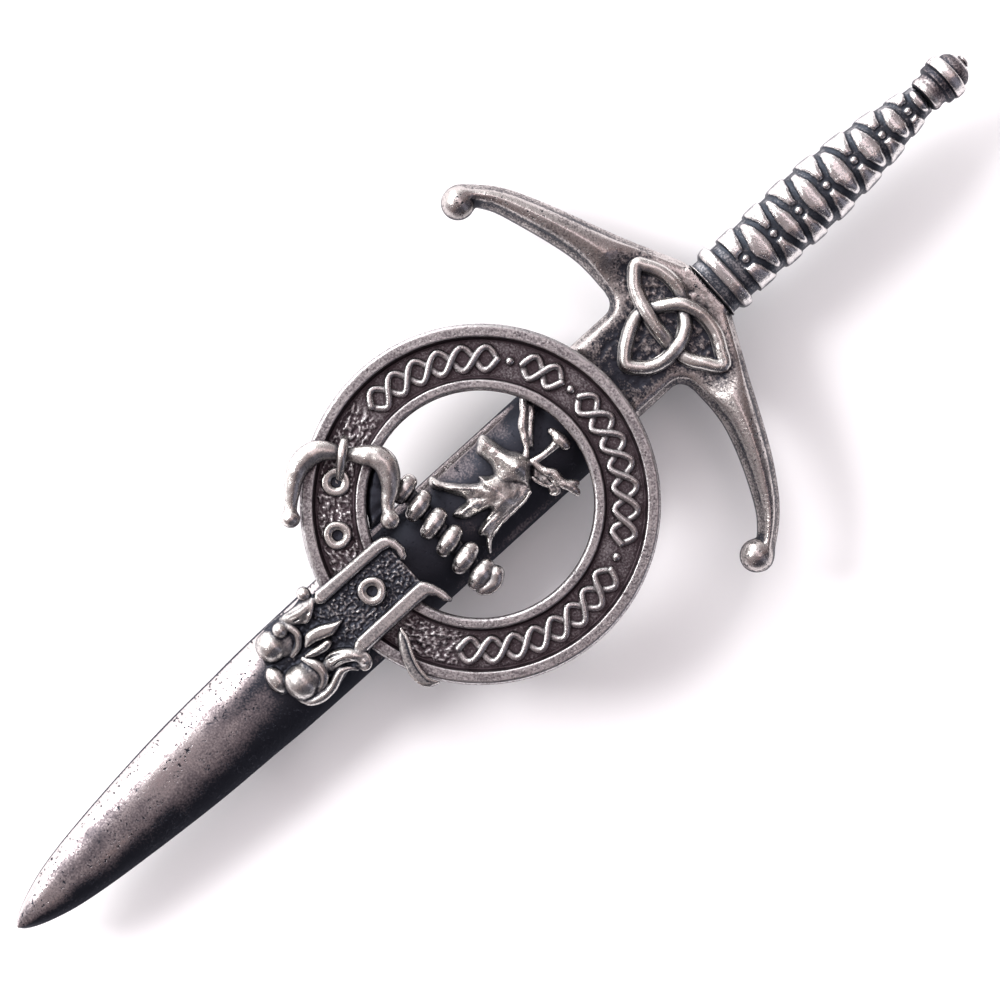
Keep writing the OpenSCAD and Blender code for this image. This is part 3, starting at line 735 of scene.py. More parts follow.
def patina_group() -> bpy.types.NodeTree:
    """Colour of antiqued metal: worn crests, dark recesses and mottling between them, with painted shade in
    sheltered corners and on steep sides.

    Returns:
        The group.
    """
    graph, given, made = effect_group("antique_patina", [
        ("Wear", NUMBER, 0.0),
        ("Contrast", NUMBER, 1.0),
        ("Reach", NUMBER, 0.7 * MM),
        ("Mottle", NUMBER, 0.2),
        ("Gloss", NUMBER, 0.24),
        ("Side Soil", NUMBER, 0.5),
        ("Speckle", NUMBER, 2.5),
        ("Worn", COLOUR, (0.8, 0.78, 0.75, 1)),
        ("Middle", COLOUR, (0.3, 0.29, 0.3, 1)),
        ("Deep", COLOUR, (0.05, 0.053, 0.068, 1)),
    ], [("Color", COLOUR), ("Roughness", NUMBER), ("Polish", NUMBER)])
    where = graph.add("ShaderNodeTexCoord").outputs["Object"]
    crest = graph.add("ShaderNodeAttribute", attribute_name="crest").outputs["Fac"]
    shelter = graph.add("ShaderNodeAmbientOcclusion", samples=8)
    graph.link(given.outputs["Reach"], shelter.inputs["Distance"])
    open_sky = shelter.outputs["AO"]
    cloud = graph.maths("SUBTRACT", graph.noise(where, CLOUD_SCALE, 3.0), 0.5)
    speck = graph.maths("SUBTRACT", graph.noise(where, SPECK_SCALE), 0.5)
    mottling = graph.maths("ADD", cloud, graph.maths("MULTIPLY", speck, given.outputs["Speckle"]))
    soil = graph.add("ShaderNodeAttribute", attribute_name="soil").outputs["Fac"]
    height = graph.maths("SUBTRACT", graph.maths("MULTIPLY", graph.maths("SUBTRACT", crest, 0.5),
                                                 given.outputs["Contrast"]), soil)
    facing = graph.add("ShaderNodeSeparateXYZ")
    graph.link(graph.add("ShaderNodeTexCoord").outputs["Normal"], facing.inputs[0])
    # Painted shade on steep sides, more on right-facing ones, and a painted dark outline on sheer ones, on
    # top of the patina left there.
    steep = graph.ease(facing.outputs["Z"], *STEEP)
    right = graph.ease(facing.outputs["X"], *RIGHTWARD)
    rightward = graph.maths("MULTIPLY_ADD", right, RIGHT_MORE, LEFT_KEPT)
    sheer = graph.maths("MULTIPLY", graph.ease(facing.outputs["Z"], *SHEER), SHEER_SOIL)
    on_sides = graph.maths("MULTIPLY", steep, rightward)
    kept = graph.maths("MULTIPLY_ADD", on_sides, given.outputs["Side Soil"], sheer)
    height = graph.maths("SUBTRACT", height, kept)
    level = graph.maths("ADD", graph.maths("ADD", height, given.outputs["Wear"]),
                        graph.maths("MULTIPLY", mottling, given.outputs["Mottle"]))
    # Painted shade where neighbours shelter the metal.
    sheltered = graph.maths("MULTIPLY", graph.maths("SUBTRACT", open_sky, 1.0), SHELTERED)
    shade = graph.maths("ADD", level, sheltered)
    middle = graph.mix(graph.ease(shade, *DEEP_TO_MIDDLE), given.outputs["Deep"], given.outputs["Middle"])
    polish = graph.ease(shade, *MIDDLE_TO_WORN)
    graph.link(graph.mix(polish, middle, given.outputs["Worn"]), made.inputs["Color"])
    rough = graph.maths("SUBTRACT", DULL, graph.maths("MULTIPLY", polish, given.outputs["Gloss"]))
    specked = graph.maths("ADD", rough, graph.maths("MULTIPLY", speck, SPECK_ROUGH))
    graph.link(specked, made.inputs["Roughness"])
    graph.link(polish, made.inputs["Polish"])
    return graph.tree


def grain_group() -> bpy.types.NodeTree:
    """Height of a cast surface: fine grain and scattered pits.

    Returns:
        The group.
    """
    graph, given, made = effect_group("cast_grain", [
        ("Grain", NUMBER, 0.5),
        ("Grain Scale", NUMBER, 5000.0),
        ("Pits", NUMBER, 0.5),
        ("Pit Scale", NUMBER, 1800.0),
    ], [("Height", NUMBER), ("Pit", NUMBER)])
    where = graph.add("ShaderNodeTexCoord").outputs["Object"]
    fine = graph.noise(where, given.outputs["Grain Scale"], 3.0)
    patches = graph.ease(graph.noise(where, PATCH_SCALE), *PATCHES)
    hole = graph.ease(graph.noise(where, given.outputs["Pit Scale"]), *HOLES)
    pit = graph.maths("MULTIPLY", graph.maths("MULTIPLY", hole, patches), given.outputs["Pits"])
    height = graph.maths("SUBTRACT", graph.maths("MULTIPLY", fine, given.outputs["Grain"]),
                         graph.maths("MULTIPLY", pit, PIT_DEPTH))
    graph.link(height, made.inputs["Height"])
    graph.link(pit, made.inputs["Pit"])
    return graph.tree


@dataclass(frozen=True)
class Metal:
    """One finish of the metal.

    Attributes:
        finish: which of the finishes it is.
        wear: how far the patina is worn off level ground.
        contrast: how much crests and hollows differ.
        reach: how near a neighbour must be to paint shade on the metal.
        mottle: strength of the blotches.
        gloss: how much smoother crests are than recesses.
        side: how much patina and painted shade lie on upright sides, more on right-facing ones.
        speckle: strength of the finest mottling.
        grain, grain_scale: strength and fineness of the cast grain.
        pits, pit_scale: strength and fineness of the pits.
        bump: depth of a full bump.
        worn, middle, deep: colours of crests, level ground and recesses.
    """

    finish: Finish
    wear: float = 0.1
    contrast: float = 2.6
    reach: float = 0.8
    mottle: float = 0.5
    gloss: float = 0.24
    side: float = 0.5
    speckle: float = 2.0
    grain: float = 0.4
    grain_scale: float = 5200.0
    pits: float = 0.6
    pit_scale: float = 6000.0
    bump: float = 0.05
    worn: tuple = (0.82, 0.79, 0.76, 1)
    middle: tuple = (0.36, 0.345, 0.35, 1)
    deep: tuple = (0.05, 0.053, 0.068, 1)

    def material(self, name: str, groups: dict) -> bpy.types.Material:
        """Builds the material.

        Args:
            name: the material's name.
            groups: the shared effects by name.

        Returns:
            The material.
        """
        material = bpy.data.materials.new(name)
        material.use_nodes = True
        graph = Graph(material.node_tree)
        shader = material.node_tree.nodes["Principled BSDF"]
        shader.inputs["Metallic"].default_value = 1.0
        patina = graph.effect(groups["patina"], {
            "Wear": self.wear, "Contrast": self.contrast, "Reach": self.reach * MM, "Mottle": self.mottle,
            "Gloss": self.gloss, "Side Soil": self.side, "Speckle": self.speckle, "Worn": self.worn,
            "Middle": self.middle, "Deep": self.deep})
        grain = graph.effect(groups["grain"], {
            "Grain": self.grain, "Grain Scale": self.grain_scale,
            "Pits": self.pits, "Pit Scale": self.pit_scale})
        stained = graph.mix(grain.outputs["Pit"], patina.outputs["Color"], self.deep)
        graph.link(stained, shader.inputs["Base Color"])
        graph.link(patina.outputs["Roughness"], shader.inputs["Roughness"])
        bump = graph.add("ShaderNodeBump")
        bump.inputs["Distance"].default_value = self.bump * MM
        graph.link(grain.outputs["Height"], bump.inputs["Height"])
        graph.link(bump.outputs["Normal"], shader.inputs["Normal"])
        return material


class Foundry:
    """Turns points and faces into dressed pieces that ride on the frame."""

    def __init__(self) -> None:
        """Builds the shared effects and an empty list of pieces."""
        self.groups = {"patina": patina_group(), "grain": grain_group()}
        self.materials: dict[str, bpy.types.Material] = {}
        self.pieces: list[bpy.types.Object] = []

    def dress(self, metal: Metal, name: str) -> bpy.types.Material:
        """Material of a piece, made when it is first asked for.

        Args:
            metal: its finish.
            name: the material's name.

        Returns:
            The material.
        """
        if name not in self.materials:
            self.materials[name] = metal.material(name, self.groups)
        return self.materials[name]

    def cast(self, name: str, net: tuple, metal: Metal, stands_for: Sequence[str], rounds: int = 12,
             reach: float = 0.05, soil: Soil | None = None) -> bpy.types.Object:
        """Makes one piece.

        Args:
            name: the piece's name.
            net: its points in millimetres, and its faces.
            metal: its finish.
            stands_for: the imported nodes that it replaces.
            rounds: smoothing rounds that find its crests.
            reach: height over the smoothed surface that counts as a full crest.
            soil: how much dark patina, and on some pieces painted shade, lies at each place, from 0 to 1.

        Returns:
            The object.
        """
        points, faces = net
        mesh = bpy.data.meshes.new(name)
        mesh.from_pydata((np.array(points) * MM).tolist(), [], np.array(faces).tolist())
        mesh.validate()
        mesh.polygons.foreach_set("use_smooth", np.ones(len(mesh.polygons), bool))
        self.mark_crests(mesh, rounds, reach * MM)
        # Patina in hollows, and on some pieces painted shade and highlight.
        if soil:
            x, y, z = np.array(points, float).T
            stain = mesh.attributes.new("soil", "FLOAT", "POINT")
            stain.data.foreach_set("value", np.broadcast_to(soil(x, y, z), x.shape).astype(np.float32))
        piece = bpy.data.objects.new(name, mesh)
        bpy.context.scene.collection.objects.link(piece)
        mesh.materials.append(self.dress(metal, f"{name}_metal"))
        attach(piece, "root")
        metal.finish.value
        if stands_for:
            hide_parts(*stands_for)
        self.pieces.append(piece)
        LOG.info("%s: %d points, %d faces", name, len(mesh.vertices), len(mesh.polygons))
        return piece

    @staticmethod
    def mark_crests(mesh: bpy.types.Mesh, rounds: int, reach: float) -> None:
        """Writes how far each point stands above its smoothed surroundings, 0.5 where it is level.

        Args:
            mesh: the piece's mesh.
            rounds: smoothing rounds.
            reach: height that counts as a full crest, in metres.
        """
        n = len(mesh.vertices)
        places = np.zeros(n * 3)
        mesh.vertices.foreach_get("co", places)
        places = places.reshape(-1, 3)
        normals = np.zeros(n * 3)
        mesh.vertices.foreach_get("normal", normals)
        edges = np.zeros(len(mesh.edges) * 2, np.int64)
        mesh.edges.foreach_get("vertices", edges)
        a, b = edges.reshape(-1, 2).T
        degree = np.maximum(np.bincount(np.concatenate([a, b]), minlength=n), 1)
        soft = places.copy()
        for _ in range(rounds):
            sums = [np.bincount(a, soft[b, c], n) + np.bincount(b, soft[a, c], n) for c in range(3)]
            soft = np.stack([total / degree for total in sums], axis=1)
        height = ((places - soft) * normals.reshape(-1, 3)).sum(axis=1) / reach
        crest = mesh.attributes.new("crest", "FLOAT", "POINT")
        crest.data.foreach_set("value", np.clip(0.5 + 0.5 * height, 0, 1).astype(np.float32))


@dataclass(frozen=True)
class Blade:
    """The blade, gently rounded in front and flat behind.

    Attributes:
        half_w: half width at the guard.
        edge_t: thickness at its edges.
        lean, lean_power: sideways lean of the point, and how late along the blade it sets in.
        bow: exponent of the front's curve; higher is flatter in the middle.
        crowding: exponent that crowds the points towards the edges.
        step: distance between its sections.
        across: number of points across the front.
        free_y: where the part starts that no badge covers.
    """

    half_w: float = 3.9
    edge_t: float = 0.75
    lean: float = 0.3
    lean_power: int = 6
    bow: float = 2.7
    crowding: float = 1.35
    step: float = 0.35
    across: int = 60
    free_y: float = -15.0
    # distance from the guard as a share of the length, half width as a share of the full one, thickness
    OUTLINE = (
        (0, 1, 1), (0.48, 0.996, 1), (0.62, 0.936, 0.98), (0.705, 0.88, 0.95), (0.79, 0.772, 0.9),
        (0.873, 0.632, 0.82), (0.924, 0.504, 0.75), (0.958, 0.36, 0.66), (0.98, 0.23, 0.56),
        (0.993, 0.12, 0.45), (0.999, 0.03, 0.36))
    # corners of the edges and the back: shares of the half width and of the edge's thickness
    BACK = ((1.0, 0.45), (0.96, 0), (0, 0), (-0.96, 0), (-1.0, 0.45))
    # strength of the patina and painted shade round the badge, by ring and neck, below the tip and in the
    # hollow, and of the painted shade on the rims
    ROUND, BY_RING, BY_NECK, BELOW_TIP, IN_HOLLOW, ON_RIM = 0.36, 0.8, 0.7, 0.42, 0.6, 1.2
    # how much less lies left of the badge, and the strength of the painted highlight on the left edge beside
    # the ring
    LEFT_LESS, RUBBED = 0.12, 1.2
    # strength of the painted shade on the free blade's right side and of the painted highlight on its left
    # side, and of the long streaks
    DARK_SIDE, BRIGHT_SIDE, STREAKS = 0.72, 0.5, (0.16, 0.1)
    # a ramp below is its start and its width
    # field of the badge: leftwards, and up from its lower end
    FIELD_LEFT, FIELD_LOW = (1.6, 1.5), (-16.5, 3)
    # beside the ring: its middle, outwards from there, and up from the lower end
    RING_AT, RING_NEAR, RING_LOW = (0.9, -1.2), (6.4, 1.6), (-13, 2)
    # right of the neck: rightwards, back from the blade's edge, and up
    NECK_RIGHT, NECK_EDGE, NECK_LOW = (1.9, 0.5), (-3.3, 0.3), (-6, 2)
    # below the tip: middle, stretch along the blade, reach, and rightwards
    TIP_AT, TIP_LONG, TIP_REACH, TIP_RIGHT = (0.6, -20), 1.4, 3.6, (-0.5, 0.3)
    # hollow below the wreath: middle and half sizes
    HOLLOW_AT, HOLLOW_HALF = (-0.3, -6.9), (3.2, 1.7)
    # painted highlight on the left edge: leftwards and down; painted shade on the rims: outwards; free
    # blade's sides: rightwards and leftwards
    RUBBED_LEFT, RUBBED_LOW, RIM_OUT = (3.3, 0.15), (-6.4, 1.0), (0.962, 0.02)
    SIDE_RIGHT, SIDE_LEFT = (0.22, 0.62), (0.55, 0.26)
    # least and most darkening, and the height over the back from which the front's darkening counts
    LEAST, MOST, FRONT_FROM = -0.6, 1.4, 0.5

    def build(self, foundry: Foundry) -> None:
        """Lofts the blade through its sections.

        Args:
            foundry: casts and dresses the pieces.
        """
        length = PLACE.block_y - PLACE.point_y
        thick = PLACE.seat_z - PLACE.back_z
        rows = smooth_path(self.OUTLINE, max(2, int(length / self.step / 10)))
        share = np.linspace(-1, 1, self.across)
        spread = np.sign(share) * (1 - (1 - np.abs(share)) ** self.crowding)
        points = []
        for where, width, height in rows:
            w = self.half_w * max(width, 0.01)
            t = thick * height
            e = min(self.edge_t, 0.6 * t)
            x0 = self.lean * where ** self.lean_power
            y = PLACE.block_y - length * min(where, 1)
            front = e + (t - e) * (1 - np.abs(spread) ** self.bow)
            ring = [(x0 + w * s, y, PLACE.back_z + z) for s, z in zip(spread, front)]
            ring += [(x0 + w * s, y, PLACE.back_z + e * h) for s, h in self.BACK]
            points += ring
        n = self.across + len(self.BACK)
        m = len(rows)
        quads = [[j * n + i, j * n + (i + 1) % n, (j + 1) * n + (i + 1) % n, (j + 1) * n + i]
                 for j in range(m - 1) for i in range(n)]
        caps = [[j * n + i for i in order] for j, order in ((0, range(n - 1, -1, -1)), (m - 1, range(n)))]
        metal = Metal(Finish.SMOOTH, wear=0.25, contrast=0.5, reach=1.2, mottle=0.7, gloss=0.3, side=0.6,
                      grain=0.5, speckle=1.2, pits=1.7, pit_scale=4200.0, bump=0.025,
                      worn=(0.74, 0.665, 0.67, 1), middle=(0.25, 0.215, 0.23, 1))
        foundry.cast("blade_cast", (points, FaceList(quads + caps)), metal, ["blade"], rounds=6, reach=0.02,
                     soil=self.soil)

    def soil(self, x: np.ndarray, y: np.ndarray, z: np.ndarray) -> np.ndarray:
        """Patina and painted shade under and round the badge, painted shade on the free blade's right side
        and along both rims.

        Args:
            x, y, z: places on the blade.

        Returns:
            The darkening, below 0 where a painted highlight makes the metal brighter.
        """
        rows = smooth_path(self.OUTLINE, 4)
        where = (PLACE.block_y - y) / (PLACE.block_y - PLACE.point_y)
        half = self.half_w * np.interp(where, rows[:, 0], rows[:, 1])
        share = (x - self.lean * np.clip(where, 0, 1) ** self.lean_power) / np.maximum(half, 0.2)
        # Painted highlight on the left edge beside the ring, and painted shade along both rims.
        rubbed = self.RUBBED * ramp(-x, *self.RUBBED_LEFT) * ramp(-y, *self.RUBBED_LOW)
        rim = self.ON_RIM * ramp(np.abs(share), *self.RIM_OUT)
        soiled = self.near_badge(x, y, share) - rubbed * (y > self.free_y)
        soiled = soiled + self.on_sides(x, y, share) * (y < self.free_y) + rim
        return np.clip(soiled, self.LEAST, self.MOST) * (z > PLACE.back_z + self.FRONT_FROM)

    def near_badge(self, x: np.ndarray, y: np.ndarray, share: np.ndarray) -> np.ndarray:
        """Patina and painted shade under and round the badge, most of all by the ring and right of the stag's
        neck.

        Args:
            x, y: places on the blade.
            share: sideways place, from -1 at the left edge to 1 at the right.

        Returns:
            The darkening.
        """
        # Painted shade, with patina, round the badge, deepest by the ring, right of the neck, below the tip
        # and in the hollow.
        field = (self.ROUND - self.LEFT_LESS * ramp(-x, *self.FIELD_LEFT)) * ramp(y, *self.FIELD_LOW)
        ring_x, ring_y = self.RING_AT
        by_ring = ramp(np.hypot(x - ring_x, y - ring_y), *self.RING_NEAR) * ramp(y, *self.RING_LOW)
        by_neck = ramp(x, *self.NECK_RIGHT) * ramp(-x, *self.NECK_EDGE) * ramp(y, *self.NECK_LOW)
        tip_x, tip_y = self.TIP_AT
        from_tip = np.hypot(x - tip_x, (y - tip_y) / self.TIP_LONG) / self.TIP_REACH
        below_tip = np.exp(-from_tip ** 4) * ramp(share, *self.TIP_RIGHT)
        (hollow_x, hollow_y), (half_x, half_y) = self.HOLLOW_AT, self.HOLLOW_HALF
        hollow = np.exp(-((x - hollow_x) / half_x) ** 4 - ((y - hollow_y) / half_y) ** 4)
        return (field + self.BY_RING * by_ring + self.BY_NECK * by_neck + self.BELOW_TIP * below_tip
                + self.IN_HOLLOW * hollow)

    def on_sides(self, x: np.ndarray, y: np.ndarray, share: np.ndarray) -> np.ndarray:
        """Darkening of the free blade: painted shade at the right, a painted highlight at the left, with long
        streaks.

        Args:
            x, y: places on the blade.
            share: sideways place, from -1 at the left edge to 1 at the right.

        Returns:
            The darkening.
        """
        dark, bright = ramp(share, *self.SIDE_RIGHT), ramp(-share, *self.SIDE_LEFT)
        broad, narrow = self.STREAKS
        streaks = broad * pebbles(x, y / 7, 1.1, 51) + narrow * pebbles(x, y / 4, 0.5, 52)
        # Painted shade on the right side, painted highlight on the left.
        bevels = self.DARK_SIDE * dark * dark * (3 - 2 * dark) - self.BRIGHT_SIDE * bright
        return bevels + streaks * (1 - bright)


class FaceList(list):
    """Faces of mixed length, which numpy can't hold as one array."""

    def __array__(self, dtype: object = None, copy: object = None) -> np.ndarray:
        """Object array of the faces, so that they pass through unchanged.

        Args:
            dtype, copy: part of numpy's call, without effect here.

        Returns:
            The array.
        """
        made = np.empty(len(self), object)
        made[:] = [list(face) for face in self]
        return made


@dataclass(frozen=True)
class Guard:
    """The crossguard with its ball ends, its block and the sunk field round the knot.

    Attributes:
        middle_x: sideways middle of the guard.
        ball_r: radius of the balls.
        side_h: height of the arms' upright sides.
        wall_w: width of the sloping wall above them.
        round_w: width of the rounding from the wall to the crown.
        lip: how much of the thickness lies in that rounding.
        block_fillet: fillet between the block and the arms.
        sunk_d, sunk_grain, grain: depth of the sunk field, and height of the grain in it and elsewhere.
        cell: grid of the casting.
    """

    middle_x: float = -0.3
    ball_r: float = 1.26
    side_h: float = 0.95
    wall_w: float = 0.42
    round_w: float = 1.5
    lip: float = 0.3
    block_fillet: float = 1.1
    sunk_d: float = 0.17
    sunk_grain: float = 0.05
    grain: float = 0.006
    cell: float = 0.115
    # out from the middle, upper edge, lower edge, crown above the blade's front
    ARM = (
        (2.6, 22.2, 16.35, 0.0), (5.3, 20.85, 16.4, 0.05), (6.9, 20.05, 16.4, 0.5),
        (8.5, 19.3, 16.2, 0.72), (10.5, 18.35, 15.6, 0.75), (12.6, 17.25, 14.75, 0.62),
        (14.6, 15.98, 13.75, 0.42), (15.7, 15.1, 12.9, 0.35), (16.5, 14.3, 12.1, 0.3),
        (17.3, 13.3, 11.7, 0.28), (17.95, 12.4, 11.5, 0.2), (18.2, 11.9, 11.4, 0.15))
    # how much higher the left arm's end lies, and the place out from the middle where it does
    LEFT_LIFT = (1.15, 16.8)
    BALLS = ((-17.35, 12.72), (16.73, 11.52))
    # left and right side of the block
    BLOCK = (-3.95, 3.35)
    # middle, half width and half height of the two ovals that make up the sunk field
    SUNK = ((18.6, 6.4, 3.4), (15.0, 3.2, 3.8))
    # start and width of the sunk field's edge, as shares of its half sizes
    SUNK_EDGE = (0.72, 0.38)
    # fillet of the balls, rounding of the outline's edge, and widths of the coarse and the fine grain
    BALL_FILLET, SOFT_EDGE, GRAIN_SIZES = 0.45, 0.1, (0.27, 0.15)
    # ramps of the patina down beside the knot and of the painted highlight up along the upper edge, and the
    # patina's half width below
    PATINA_LOW, PATINA_UP, PATINA_HALF = (-16.0, 2), (20.3, 0.8), 2.9
    # strength of the patina in the sunk field and beside the knot, and of the painted highlight at the upper
    # edge
    SUNK_PATINA, LOW_PATINA, UP_LESS = 0.3, 0.25, 0.25

    def edge(self, side: int) -> tuple[np.ndarray, np.ndarray]:
        """Upper and lower edge of one arm, from the middle outwards.

        Args:
            side: -1 for the left arm, 1 for the right one.

        Returns:
            The points of the two edges.
        """
        rows = smooth_path(self.ARM, 6)
        lift = self.LEFT_LIFT[0] * (rows[:, 0] / self.LEFT_LIFT[1]) ** 4 if side < 0 else 0
        x = self.middle_x + side * rows[:, 0]
        return np.stack([x, rows[:, 1] + lift], axis=1), np.stack([x, rows[:, 2] + lift], axis=1)

    def outline(self) -> np.ndarray:
        """Outline of arms and block, seen from the front.

        Returns:
            The outline's points.
        """
        left_up, left_low = self.edge(-1)
        right_up, right_low = self.edge(1)
        fillet = self.block_fillet
        below = PLACE.block_y
        left_x, right_x = self.BLOCK
        bend = np.linspace(0, math.pi / 2, 9)
        top = right_low[0][1]
        round_off = [(fillet * (1 - math.sin(a)), top - fillet * (1 - math.cos(a))) for a in bend]
        right_block = [(right_x + off, y) for off, y in round_off]
        left_block = [(left_x - off, y) for off, y in round_off[::-1]]
        keep_right = right_low[right_low[:, 0] > right_x + fillet]
        keep_left = left_low[left_low[:, 0] < left_x - fillet]
        return np.vstack([
            left_up[::-1], self.neck(), right_up, keep_right[::-1], right_block,
            [(right_x, below), (left_x, below)], left_block, keep_left])

    def neck(self) -> list[tuple]:
        """Corners that carry the top on at full height to where the grip starts.

        Returns:
            The two corners.
        """
        spare = 0.3
        y = PLACE.collar_y + self.wall_w + spare
        half = self.ARM[0][0] - spare
        return [(self.middle_x - half, y), (self.middle_x + half, y)]

    def sunk(self, x: np.ndarray, y: np.ndarray) -> np.ndarray:
        """How far a place lies in the sunk field round the knot, from 0 to 1."""
        arms, block = (np.hypot((x - self.middle_x) / w, (y - middle) / h) for middle, w, h in self.SUNK)
        return 1 - ramp(np.minimum(arms, block), *self.SUNK_EDGE)

    def build(self, foundry: Foundry) -> None:
        """Casts the guard from its outline and its crown.

        Args:
            foundry: casts and dresses the pieces.
        """
        low, high = box_mm("guard")
        form = Casting(low, high, self.cell)
        x, y, z = form.everywhere()
        plane_x, plane_y = x[:, :, 0], y[:, :, 0]
        flat = outline_distance(plane_x, plane_y, self.outline())
        out = np.abs(plane_x - self.middle_x)
        rows = smooth_path(self.ARM, 6)
        crown = np.interp(out, np.concatenate([[0], rows[:, 0]]), np.concatenate([[0], rows[:, 3]]))
        full = PLACE.seat_z - PLACE.back_z
        wall = ramp(-flat, 0, self.wall_w)
        depth = ramp(-flat, self.wall_w, self.round_w)
        swell = quarter_round(depth)
        top = PLACE.back_z + self.side_h + (full - self.lip - self.side_h) * wall + (self.lip + crown) * swell
        sunk = self.sunk(plane_x, plane_y) * depth
        coarse, fine = self.GRAIN_SIZES
        rough = pebbles(plane_x, plane_y, coarse, 5) + 0.5 * pebbles(plane_x, plane_y, fine, 6)
        top = top - self.sunk_d * sunk + (self.sunk_grain * sunk + self.grain) * rough
        form.join(greater((z - top[:, :, None]) * ROUND_SHARE, flat[:, :, None], self.SOFT_EDGE))
        for bx, by in self.BALLS:
            form.lump((bx, by, PLACE.back_z + self.ball_r), (self.ball_r,) * 3, self.BALL_FILLET)
        form.keep(np.maximum(PLACE.back_z - z, y - high[1]))
        metal = Metal(Finish.SMOOTH, wear=0.22, contrast=1.2, reach=0.8, mottle=0.9, gloss=0.24, side=0.8,
                      grain=0.5, speckle=1.8, pits=1.2, pit_scale=4600.0,
                      worn=(0.64, 0.595, 0.58, 1), middle=(0.27, 0.245, 0.245, 1))
        foundry.cast("guard_cast", form.net(), metal, ["guard"], rounds=10, reach=0.05, soil=self.soil)

    def soil(self, x: np.ndarray, y: np.ndarray, z: np.ndarray) -> np.ndarray:
        """Patina left in the sunk field and low down beside the knot, and a painted highlight along the upper
        edge.

        Args:
            x, y, z: places on the piece.

        Returns:
            The patina, lowered by the painted highlight.
        """
        low_sides = ramp(-y, *self.PATINA_LOW) * (np.abs(x - self.middle_x) < self.PATINA_HALF)
        # Painted highlight along the upper edge.
        upper_edge = ramp(y, *self.PATINA_UP)
        in_field = self.SUNK_PATINA * self.sunk(x, y) * (1 - upper_edge)
        return in_field + self.LOW_PATINA * low_sides - self.UP_LESS * upper_edge


@dataclass(frozen=True)
class Knot:
    """The three-cornered knot on the guard.

    Attributes:
        wire_r: radius of the strand.
        rise: how far it climbs over and dips under at a crossing.
        flange: width of the thin foot beside the strand.
        shift: how far right of its measured place the knot stands.
        up: height of the strand's middle above the blade's front, where it lies level.
        cell: grid of the casting.
    """

    wire_r: float = 0.5
    rise: float = 0.3
    flange: float = 0.1
    shift: float = 0.3
    up: float = 0.22
    cell: float = 0.07
    # x, y and lift, from over (1) to under (-1), measured on the photo's plane
    PATH = (
        (-0.45, 13.85, 0), (-1.15, 14.35, 0), (-1.8, 15.2, 0), (-2.3, 16.1, -0.3), (-2.55, 16.8, -0.9),
        (-2.4, 17.6, -1), (-2.05, 18.4, -0.4), (-1.6, 19.1, 0.5), (-0.95, 19.85, 1), (0, 20.3, 0.8),
        (1, 20.45, 0.3), (2.2, 20.3, 0), (3.4, 19.75, 0), (4.4, 19.05, 0), (3.2, 18.05, 0),
        (2.3, 17.5, -0.5), (1.2, 17.25, -1), (0.1, 17.25, -0.1), (-1, 17.3, 0.7), (-2.2, 17.5, 1),
        (-3.3, 17.8, 0.4), (-4.4, 18.3, 0), (-5.4, 19.3, 0), (-4.8, 19.85, 0), (-3.9, 20.3, 0),
        (-2.9, 20.5, 0), (-1.9, 20.45, -0.5), (-1, 20.0, -1), (-0.1, 19.35, -0.5), (0.5, 18.8, 0.3),
        (0.95, 18.05, 0.9), (1.15, 17.2, 1), (1.2, 16.2, 0.6), (0.95, 15.2, 0), (0.35, 14.4, 0))

    def build(self, foundry: Foundry) -> None:
        """Casts the looped strand, with the thin flange that it stands on.

        Args:
            foundry: casts and dresses the pieces.
        """
        low, high = box_mm("trinity_knot")
        form = Casting(low - 0.3, high + 0.3, self.cell)
        rows = [(x + self.shift, y, PLACE.seat_z + self.up + self.rise * over, self.wire_r)
                for x, y, over in self.PATH]
        loop = smooth_path(rows, 5, loop=True)
        form.strand(loop, flat=0.9)
        foot = loop.copy()
        foot[:, 2], foot[:, 3] = PLACE.seat_z - 0.16, self.wire_r + self.flange
        form.strand(foot, 0.04, 0.35)
        form.uneven(0.015, 0.4, 61)
        form.above(PLACE.seat_z - 0.2)
        metal = Metal(Finish.BRIGHT, wear=0.36, contrast=1.3, reach=0.6, mottle=0.45, grain=0.3, pits=0.5)
        foundry.cast("knot_cast", form.net(), metal, ["trinity_knot"], rounds=12, reach=0.08)


